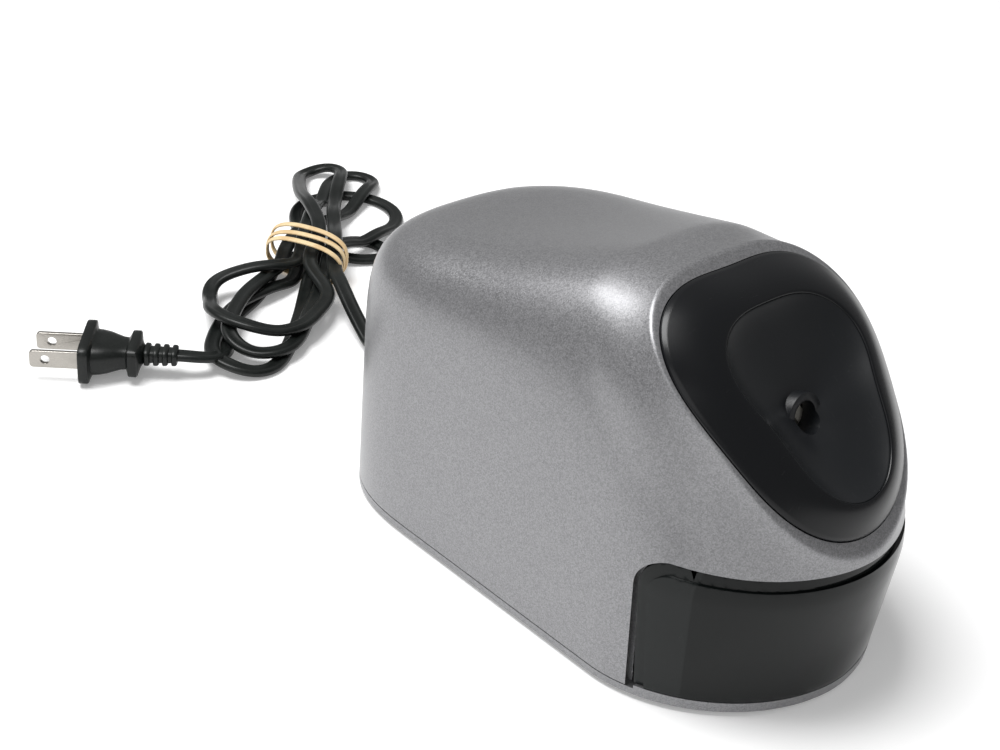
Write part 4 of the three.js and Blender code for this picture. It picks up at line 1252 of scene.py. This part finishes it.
def catmull(points: Points, spacing: float) -> Points:
    """A smooth line through points, sampled evenly.

    The line is a centripetal Catmull-Rom spline: each stretch mixes its four nearest points by
    where it is between knots, which stand apart by the square root of the points' distances.

    Args:
        points: the points, one row each.
        spacing: how far apart the samples are along the line.

    Returns:
        The samples, one row each.
    """
    ends = np.concatenate([[2 * points[0] - points[1]], points, [2 * points[-1] - points[-2]]])
    p0, p1, p2, p3 = ends[:-3], ends[1:-2], ends[2:-1], ends[3:]
    pairs = ((p0, p1), (p1, p2), (p2, p3))
    knots = [np.linalg.norm(b - a, axis=1)[:, None, None] ** 0.5 + 1e-9 for a, b in pairs]
    t1, t2, t3 = knots[0], knots[0] + knots[1], knots[0] + knots[1] + knots[2]
    t = t1 + (t2 - t1) * np.linspace(0, 1, 24, endpoint=False)[None, :, None]
    q0, q1, q2, q3 = (p[:, None, :] for p in (p0, p1, p2, p3))
    a1 = (t1 - t) / t1 * q0 + t / t1 * q1
    a2 = (t2 - t) / (t2 - t1) * q1 + (t - t1) / (t2 - t1) * q2
    a3 = (t3 - t) / (t3 - t2) * q2 + (t - t2) / (t3 - t2) * q3
    b1 = (t2 - t) / t2 * a1 + t / t2 * a2
    b2 = (t3 - t) / (t3 - t1) * a2 + (t - t1) / (t3 - t1) * a3
    curve = (t2 - t) / (t2 - t1) * b1 + (t - t1) / (t2 - t1) * b2
    return resample(np.concatenate([curve.reshape(-1, 3), points[-1:]]), spacing)


def resample(line: Points, spacing: float) -> Points:
    """Evenly spaced points along a polyline.

    Args:
        line: the polyline's points, one row each.
        spacing: about how far apart the new points are.

    Returns:
        The new points, one row each.
    """
    run = np.concatenate([[0], np.cumsum(np.linalg.norm(np.diff(line, axis=0), axis=1))])
    count = max(2, int(round(run[-1] / spacing)) + 1)
    at = np.linspace(0, run[-1], count)
    return np.stack([np.interp(at, run, line[:, k]) for k in range(3)], axis=1)


def blur(values: Points, width: float) -> Points:
    """Values along a line, averaged under a bell curve.

    Args:
        values: one number for each sample.
        width: the bell curve's standard deviation, in samples.

    Returns:
        As many averaged values.
    """
    reach = int(3 * width)
    bell = np.exp(-0.5 * (np.arange(-reach, reach + 1) / width) ** 2)
    padded = np.pad(values, reach, mode="edge")
    return np.convolve(padded, bell / bell.sum(), mode="valid")


@dataclass(frozen=True)
class Fold:
    """One loop of the hank."""

    reach: float  # how far along the hank it goes, less than 0 towards the plug
    aside: float  # how far aside of the hank's axis its middle lies
    half: float  # half its width
    turn: int = 1  # 1 or -1, the way round
    bulge: float = 0.66  # how far out the runs to and from it already are half way along


def rounded(across: float, up: float, power: float, sides: int) -> Points:
    """A superellipse in a plane: the sign and a power of the cosine and sine of a turning angle.

    Args:
        across: its half width.
        up: its half height.
        power: 1 for an ellipse, and less for one with squarer corners.
        sides: how many points it has.

    Returns:
        Places across and up, one row for each point.
    """
    turn = np.linspace(0, 2 * np.pi, sides, endpoint=False)
    c, s = np.cos(turn), np.sin(turn)
    return np.stack([across * np.sign(c) * np.abs(c) ** power, up * np.sign(s) * np.abs(s) ** power], axis=1)


def stacked(stations: Sequence[tuple[float, ...]], power: float, sides: int = 72) -> Points:
    """Superellipse rings along X.

    Args:
        stations: place, half width, half height and, where it has its own, power of each ring.
        power: the power of every other ring.
        sides: how many points each ring has.

    Returns:
        Rings by points by 3.
    """
    rings = []
    for place, wide, high, *own in stations:
        flat = rounded(wide, high, own[0] if own else power, sides)
        rings.append(np.column_stack([np.full(sides, place), flat]))
    return np.array(rings)


def frame_rings(line: Points, section: Points, side: Points, up: Points) -> Points:
    """Rings of a section at each point of a line.

    Each point is the line's plus the section's first place times side plus its second times up.

    Args:
        line: the line's points, one row each.
        section: the section's two places, one row for each of its points.
        side: the section's first direction at each point of the line.
        up: its second direction there.

    Returns:
        Rings by points by 3.
    """
    return line[:, None, :] + section[None, :, :1] * side[:, None, :] + section[None, :, 1:] * up[:, None, :]


def sweep(route: Points, section: Points) -> Points:
    """Rings of a section carried along a route, its first axis level and its second one upwards.

    Args:
        route: the route's points, one row each.
        section: the section's two places, one row for each of its points.

    Returns:
        Rings by points by 3.
    """
    way = np.gradient(route, axis=0)
    way = way / np.linalg.norm(way, axis=1)[:, None]
    side = np.cross(way, [0, 0, 1.0])
    side /= np.linalg.norm(side, axis=1)[:, None]
    return frame_rings(route, section, side, np.cross(side, way))


@dataclass
class Cord:
    """The flat two-core lead, folded in a hank, with its band, strain relief, plug and blades."""

    palette: Palette
    length: float = 1.42
    width: float = 5.8
    thick: float = 2.9
    spacing: float = 1.5  # between the centreline's points
    climb: float = 0.36  # the most that the cord rises from one of them to the next
    centre: tuple[float, float] = (31.0, 203.0)
    angle: float = math.radians(41.7)
    waist: float = -5.0  # where the band holds the hank, along it
    columns: tuple[float, ...] = (-11.5, -5.3, 0.9, 7.1)  # places of the runs across the waist
    plug_at: tuple[float, float, float] = (-77.5, 182.4, 7.6)
    plug_heading: float = math.radians(-40.0)
    blade_aside: float = 6.35
    blade_half: float = 3.175  # half a blade's width
    lead: tuple[tuple[float, float], ...] = (
        (10.0, 118.5),
        (10.1, 121.5),
        (10.4, 126.0),
        (11.2, 131.5),
        (12.6, 137.5),
        (14.8, 145.0),
        (18.0, 155.0),
        (22.0, 166.0),
        (27.0, 177.5),
    )
    lead_drop: tuple[float, float] = (119.5, 139.0)  # between these the lead comes down to the floor
    tail: tuple[tuple[float, float], ...] = (
        (-1.0, 190.0),
        (-13.0, 184.0),
        (-22.0, 177.0),
        (-29.0, 168.0),
        (-33.0, 161.0),
        (-38.0, 157.5),
        (-43.5, 156.2),
        (-48.0, 157.8),
        (-52.0, 161.1),
        (-55.0, 163.6),
    )
    folds: tuple[Fold, ...] = (
        Fold(91.5, 9.5, 8.8),
        Fold(-68.0, 4.5, 19.5, 1, 1.15),
        Fold(92.0, -4.5, 8.8, -1),
        Fold(-77.0, 1.0, 12.5, -1, 1.0),
        Fold(70.0, -8.0, 21.0),
        Fold(-87.0, 4.5, 12.5, 1, 0.95),
        Fold(28.0, -19.0, 12.0),
    )

    def build(self) -> None:
        """Makes the cord and every piece on it."""
        route = self.route()
        cord = self._lead_piece(route)
        pieces = [self._strain_relief(), self._band(route), self._plug()]
        pieces += [self._blade("blade_near", -1), self._blade("blade_far", 1)]
        (route * MM).tolist()

    def place(self, along: Points, aside: Points) -> Points:
        """Places on the floor.

        Args:
            along: places along the hank.
            aside: places aside of it.

        Returns:
            Places along X and Y, in the last axis.
        """
        c, s = math.cos(self.angle), math.sin(self.angle)
        x = self.centre[0] + along * c - aside * s
        y = self.centre[1] + along * s + aside * c
        return np.stack([x, y], axis=-1)

    def in_hank(self, flat: Points) -> tuple[Points, Points]:
        """Places along and aside of the hank.

        Args:
            flat: places along X and Y, in the last axis.

        Returns:
            Places along the hank, and places aside of it.
        """
        c, s = math.cos(self.angle), math.sin(self.angle)
        dx, dy = flat[..., 0] - self.centre[0], flat[..., 1] - self.centre[1]
        return dx * c + dy * s, dy * c - dx * s

    def route(self) -> Points:
        """The centreline: the lead, the folds one after another through the waist, and the tail.

        Returns:
            Its points in millimetres, one row each.
        """
        plan = [np.array(self.lead)]
        count = len(self.columns)
        for number, fold in enumerate(self.folds):
            plan.append(self._loop(fold, self.columns[number % count], self.columns[(number + 1) % count]))
        plan.append(np.array(self.tail))
        flat = np.concatenate(plan)
        line = catmull(np.column_stack([flat, np.zeros(len(flat))]), self.spacing)
        line[:, 0], line[:, 1] = blur(line[:, 0], 2.6), blur(line[:, 1], 2.6)
        line[:, 2] = self._heights(line)
        return line

    def _loop(self, fold: Fold, first: float, last: float) -> Points:
        """One loop: a run out from the waist, half a circle, and a run back.

        Args:
            fold: the loop's size and place.
            first: where its run out leaves the waist, across it.
            last: where its run back meets the waist.

        Returns:
            Places along X and Y, one row each.
        """
        side = math.copysign(1, fold.reach)
        middle = fold.reach - side * fold.half
        turn = np.linspace(-np.pi / 2, np.pi / 2, 7)
        along = middle + side * fold.half * np.cos(turn)
        aside = fold.aside + fold.turn * fold.half * np.sin(turn)
        neck = self.waist + side * 10
        halfway = neck + (middle - neck) * 0.5
        run_out = [first, first + (aside[0] - first) * fold.bulge]
        run_back = [last + (aside[-1] - last) * fold.bulge, last]
        along = np.concatenate([[neck, halfway], along, [halfway, neck]])
        return self.place(along, np.concatenate([run_out, aside, run_back]))

    def _pile(self, line: Points) -> Points:
        """Heights of a centreline in the order in which it was laid.

        Each stretch rises by one thickness where it crosses or runs along an earlier one, and
        the rise is spread into a long low hump.

        Args:
            line: the centreline's points, with their first two places known.

        Returns:
            A height for each point.
        """
        along, _ = self.in_hank(line[:, :2])
        floor = self.thick / 2 + 0.1 + 1.1 * np.exp(-(((along - self.waist) / 9) ** 2))
        height = floor.copy()
        skip = int(14 / self.spacing)
        ramp = np.arange(1, 12)
        for start in range(skip, len(line)):
            apart = np.hypot(*(line[: start - skip, :2] - line[start, :2]).T)
            near = apart < self.width * 0.96
            if near.any():
                top = float(height[: start - skip][near].max())
                height[start] = max(height[start], top + self.thick + 0.2)
            before = np.maximum(start - ramp, 0)
            height[before] = np.maximum(height[before], height[start] - ramp * self.climb)
            if start + 1 < len(line):
                height[start + 1] = max(height[start + 1], height[start] - self.climb)
        return np.maximum(blur(height, 2.4), floor)

    def _heights(self, line: Points) -> Points:
        """Heights of the centreline: piled up from the plug's end, with both ends led to their pieces.

        Args:
            line: the centreline's points, with their first two places known.

        Returns:
            A height for each point.
        """
        height = self._pile(line[::-1])[::-1]
        begin, end = self.lead_drop
        fall = np.clip((line[:, 1] - begin) / (end - begin), 0, 1)
        fall = fall * fall * (3 - 2 * fall)
        run = np.arange(len(line)) * self.spacing
        first = run < 32
        height[first] = np.maximum(height[first], (EXIT[2] + (height - EXIT[2]) * fall)[first])
        last = np.clip((run[-1] - run - 3) / 34, 0, 1)
        return self.plug_at[2] + (height - self.plug_at[2]) * last * last * (3 - 2 * last)

    def _lead_piece(self, route: Points) -> bpy.types.Object:
        """The lead: two round lobes joined side by side, carried along the route.

        Each lobe is a circle moved aside by a hyperbolic tangent, and a bell curve in the middle
        lowers both sides into grooves.

        Args:
            route: the centreline.

        Returns:
            The cord.
        """
        turn = np.linspace(0, 2 * np.pi, 36, endpoint=False)
        lobe = self.thick / 2
        across = lobe * np.cos(turn) + np.tanh(4 * np.cos(turn)) * (self.width / 2 - lobe)
        rise = lobe * np.sin(turn) * (1 - 0.42 * np.exp(-((across / 0.7) ** 2)))
        cord = loft("cord", sweep(route, np.column_stack([across, rise])))
        smooth(cord, 60)
        self.palette.finish(cord, "cord_black", Body.HOUSING, "cord_lead", "cord_hank", "cord_tail")
        log.info("cord length %.0f mm", float(np.linalg.norm(np.diff(route, axis=0), axis=1).sum()))
        return cord

    def _band(self, route: Points) -> bpy.types.Object:
        """The rubber band: one strand wound three times obliquely round the gathered runs.

        Round the bundle the strand follows a superellipse a little larger than the runs inside
        it, and it drifts along the bundle with the winding angle.

        Args:
            route: the cord's centreline.

        Returns:
            The band.
        """
        along, aside = self.in_hank(route[:, :2])
        inside = np.abs(along - self.waist) < 9
        low, high = aside[inside].min() - 3.3, aside[inside].max() + 3.3
        top = route[inside, 2].max() + 2.1
        middle, foot = (high + low) / 2, 0.75
        turn = np.linspace(0, 2 * np.pi, 480, endpoint=False)
        c, s = np.cos(3 * turn), np.sin(3 * turn)
        slack = 0.35 * np.sin(turn * 2)
        half_wide, half_high = (high - low) / 2 + slack, (top - foot) / 2
        across = middle + half_wide * np.sign(c) * np.abs(c) ** 0.8
        rise = foot + half_high * (1 + np.sign(s) * np.abs(s) ** 0.75)
        rise += (0.35 + 0.35 * np.cos(turn)) * (s > 0)
        drift = 0.3 * (across - middle) + 5.2 * np.cos(turn) + 1.6 * np.sin(turn * 2)
        flat = self.place(self.waist + drift, across)
        line = np.column_stack([flat, rise])
        way = np.roll(line, -1, axis=0) - np.roll(line, 1, axis=0)
        way /= np.linalg.norm(way, axis=1)[:, None]
        axis = np.array([math.cos(self.angle), math.sin(self.angle), 0.0])
        out = np.cross(way, axis)
        out /= np.linalg.norm(out, axis=1)[:, None]
        rings = frame_rings(line, rounded(0.5, 1.5, 0.8, 12), out, np.cross(out, way))
        rings[..., 2] = np.maximum(rings[..., 2], 0.05)
        band = loft("band", rings, closed=True)
        smooth(band, 70)
        self.palette.finish(band, "band_tan", Body.HOUSING, "rubber_band")
        return band

    def _on_plug(self, piece: bpy.types.Object) -> None:
        """Turns and moves a piece from the plug's own frame to where the plug lies.

        Args:
            piece: the piece, whose mesh is moved.
        """
        turned = Matrix.Rotation(self.plug_heading, 4, "Z")
        shift = Matrix.Translation([value * MM for value in self.plug_at])
        piece.data.transform(shift @ turned)

    def _strain_relief(self) -> bpy.types.Object:
        """The strain relief: a flange and neck in the wall and a ribbed sleeve that tapers outwards.

        Returns:
            The strain relief.
        """
        x, _, z = EXIT
        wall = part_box("housing_shell")[1][1] / MM
        reach = self.lead[0][1] - GAP - wall
        stations = [(0.5, 5.0, 5.0), (0.7, 5.35, 5.35), (1.5, 5.4, 5.4), (1.9, 5.2, 5.2), (2.4, 4.6, 4.2)]
        rib_shape = [
            (0, 3.7, 2.9), (0.15, 4.4, 3.5), (0.5, 4.5, 3.6), (2.4, 4.5, 3.6), (2.8, 4.35, 3.5),
            (3, 3.7, 2.9),
        ]
        for rib in range(5):
            start = 4 + (reach - 4) * rib / 5
            size = 1 - 0.06 * rib
            stations += [(start + s, w * size, h * size) for s, w, h in rib_shape]
        stations += [(reach - 0.4, 3.4, 2.3), (reach, 3.1, 2.0)]
        sleeve = loft("strain_relief_piece", stacked(stations, 0.7))
        shift = Matrix.Translation((x * MM, wall * MM, z * MM))
        sleeve.data.transform(shift @ Matrix.Rotation(math.pi / 2, 4, "Z"))
        neck = block("neck", (x - NECK, wall - 4.5, z - NECK), (x + NECK, wall + 1, z + NECK))
        wide = NECK + 2
        flange = block("flange", (x - wide, wall - 8, z - wide), (x + wide, wall - 4, z + wide))
        carve(neck, flange, "UNION")
        carve(sleeve, neck, "UNION")
        smooth(sleeve, 40)
        self.palette.finish(sleeve, "cord_black", Body.HOUSING, "strain_relief")
        return sleeve

    def _plug(self) -> bpy.types.Object:
        """The moulded plug: a flange, a waisted body, a second ridge and four ribs.

        Returns:
            The plug.
        """
        flange = [
            (0.0, 11.8, 6.4, 0.3), (0.15, 12.3, 6.85, 0.3), (0.5, 12.5, 7.0, 0.3), (3.0, 12.5, 7.0, 0.3),
            (3.4, 12.3, 6.8, 0.3), (3.7, 11.0, 6.2, 0.4),
        ]
        body = [
            (4.2, 10.2, 5.7), (6.5, 9.9, 5.5), (9.0, 9.1, 5.2), (11.5, 7.8, 4.7), (13.5, 6.9, 4.3),
            (15.3, 6.6, 4.2),
        ]
        ridge = [
            (15.9, 7.6, 4.8, 0.4), (16.3, 8.9, 5.4, 0.35), (17.0, 9.0, 5.45, 0.35), (18.9, 9.0, 5.45, 0.35),
            (19.3, 8.7, 5.2, 0.4), (19.8, 6.0, 4.0), (20.4, 4.4, 3.0),
        ]
        rib_shape = [
            (0, 3.5, 2.4), (0.15, 4.4, 3.0), (0.5, 4.7, 3.15), (1.5, 4.6, 3.1), (1.9, 4.2, 2.8),
            (2.05, 3.5, 2.4),
        ]
        stations = flange + body + ridge
        for rib in range(4):
            start = 21 + rib * 3.1
            stations += [(start + s, w - 0.12 * rib, h - 0.08 * rib) for s, w, h in rib_shape]
        plug = loft("plug", stacked(stations, 0.62))
        for side in (-1, 1):
            y = side * self.blade_aside
            carve(plug, block("slot", (-2, y - 1.05, -3.5), (6.3, y + 1.05, 3.5)))
        smooth(plug, 45)
        self._on_plug(plug)
        self.palette.finish(plug, "cord_black", Body.HOUSING, "plug_body")
        return plug

    def _blade(self, name: str, side: int) -> bpy.types.Object:
        """One contact blade, with a round hole and a rounded tip.

        Args:
            name: the object's name.
            side: 1 or -1, which of the two it is.

        Returns:
            The blade.
        """
        y = side * self.blade_aside
        half, corner = self.blade_half, 1.3
        turn = np.linspace(np.pi / 2, np.pi, 6)
        arc = np.stack([-17 + corner + corner * np.cos(turn), half - corner + corner * np.sin(turn)], axis=1)
        outline = np.concatenate([[[6.0, half]], arc, arc[::-1] * [1, -1], [[6.0, -half]]])
        flat = np.column_stack([outline[:, 0], np.zeros(len(outline)), outline[:, 1]])
        blade = prism(name, flat + [0, y - 0.75, 0], flat + [0, y + 0.75, 0])
        drill = rod("drill", 1.55, 0, 0, -3, 3)
        shift = Matrix.Translation((-11.7 * MM, y * MM, 0))
        drill.data.transform(shift @ Matrix.Rotation(math.pi / 2, 4, "X"))
        carve(blade, drill)
        soften(blade, 0.22, 3, 35)
        smooth(blade, 40)
        self._on_plug(blade)
        self.palette.finish(blade, "blade_nickel", Body.HOUSING, "plug_" + name)
        return blade


@dataclass
class Studio:
    """Camera, floor and soft light."""

    position: tuple[float, float, float] = (-328.83, -277.3, 304.64)
    yaw: float = math.radians(-44.57)
    pitch: float = math.radians(30.09)
    roll: float = math.radians(5.05)
    focal_share: float = 1.7  # focal length as a share of the picture's width

    def build(self) -> None:
        """Makes the camera, the floor and the lights."""
        self.camera()
        self.floor()
        self.lights()

    def camera(self) -> None:
        """The camera, at its heading, dip and small lean."""
        sin_y, cos_y = math.sin(self.yaw), math.cos(self.yaw)
        sin_p, cos_p = math.sin(self.pitch), math.cos(self.pitch)
        forward = np.array([-sin_y * cos_p, cos_y * cos_p, -sin_p])
        right = np.array([cos_y, sin_y, 0.0])
        up = np.cross(right, forward)
        across = right * math.cos(self.roll) + up * math.sin(self.roll)
        above = -right * math.sin(self.roll) + up * math.cos(self.roll)
        data = bpy.data.cameras.new("camera")
        data.sensor_width = 36.0
        data.lens = 36.0 * self.focal_share
        data.clip_start = 0.01
        camera = bpy.data.objects.new("camera", data)
        turned = np.eye(4)
        turned[:3, :3] = np.column_stack([across, above, -forward])
        turned[:3, 3] = np.array(self.position) * MM
        camera.matrix_world = Matrix(turned.tolist())
        bpy.context.scene.collection.objects.link(camera)
        bpy.context.scene.camera = camera

    def floor(self) -> None:
        """A wide pale floor just below the feet."""
        reach = 6000.0
        corners = np.array([[-reach, -reach, 0], [reach, -reach, 0], [reach, reach, 0], [-reach, reach, 0]])
        floor = make_object("floor", corners + [0, 0, -0.05], [[0, 1, 2, 3]])
        g = Graph("pale_floor")
        cloud = g.noise(g.place(), 3.0, 3.0)
        tone = g.mix(cloud, (0.86, 0.86, 0.86), (0.90, 0.90, 0.90))
        glow = (0.2, 0.2, 0.2)
        floor.data.materials.append(
            g.surface(Base_Color=tone, Roughness=0.85, Emission_Color=glow, Emission_Strength=1.0)
        )

    def lights(self) -> None:
        """A dim even sky, a strong lamp overhead and a broad soft one on the left."""
        world = bpy.data.worlds.new("studio")
        world.use_nodes = True
        background = world.node_tree.nodes["Background"]
        background.inputs[0].default_value = (1.0, 1.0, 1.0, 1.0)
        background.inputs[1].default_value = 0.3
        bpy.context.scene.world = world
        bpy.context.scene.view_settings.view_transform = "Standard"
        self._lamp("key", (-260, 420, 1300), (0, 0, 60), 760, 21.0)
        self._lamp("side", (-1100, -500, 800), (0, 0, 40), 900, 2.5)

    def _lamp(self, name: str, at: Sequence[float], to: Sequence[float], size: float, power: float) -> None:
        """One square lamp that looks at a point.

        Args:
            name: the lamp's name.
            at: where it is.
            to: the point.
            size: the length of its side.
            power: its power in watts.
        """
        data = bpy.data.lights.new(name, "AREA")
        data.size = size * MM
        data.energy = power
        lamp = bpy.data.objects.new(name, data)
        back = np.array(at, dtype=float) - np.array(to, dtype=float)
        back /= np.linalg.norm(back)
        across = np.cross([0.0, 0.0, 1.0], back)
        across /= np.linalg.norm(across)
        turned = np.eye(4)
        turned[:3, :3] = np.column_stack([across, np.cross(back, across), back])
        turned[:3, 3] = np.array(at) * MM
        lamp.matrix_world = Matrix(turned.tolist())
        bpy.context.scene.collection.objects.link(lamp)


def main() -> None:
    """Builds the scene: studio and cord first, then the housing, the bezel and the drawer."""
    logging.basicConfig(level=logging.INFO, format="%(message)s")
    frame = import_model()
    palette = Palette()
    palette.build()
    palette.dress_frame(frame)
    Studio().build()
    Cord(palette).build()
    skin = Skin(rear=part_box("housing_shell")[1][1] / MM)
    drawer = Drawer(skin, palette)
    Housing(skin, palette, drawer).build()
    Bezel(skin, palette).build()
    drawer.build()


if __name__ == "__main__":
    main()
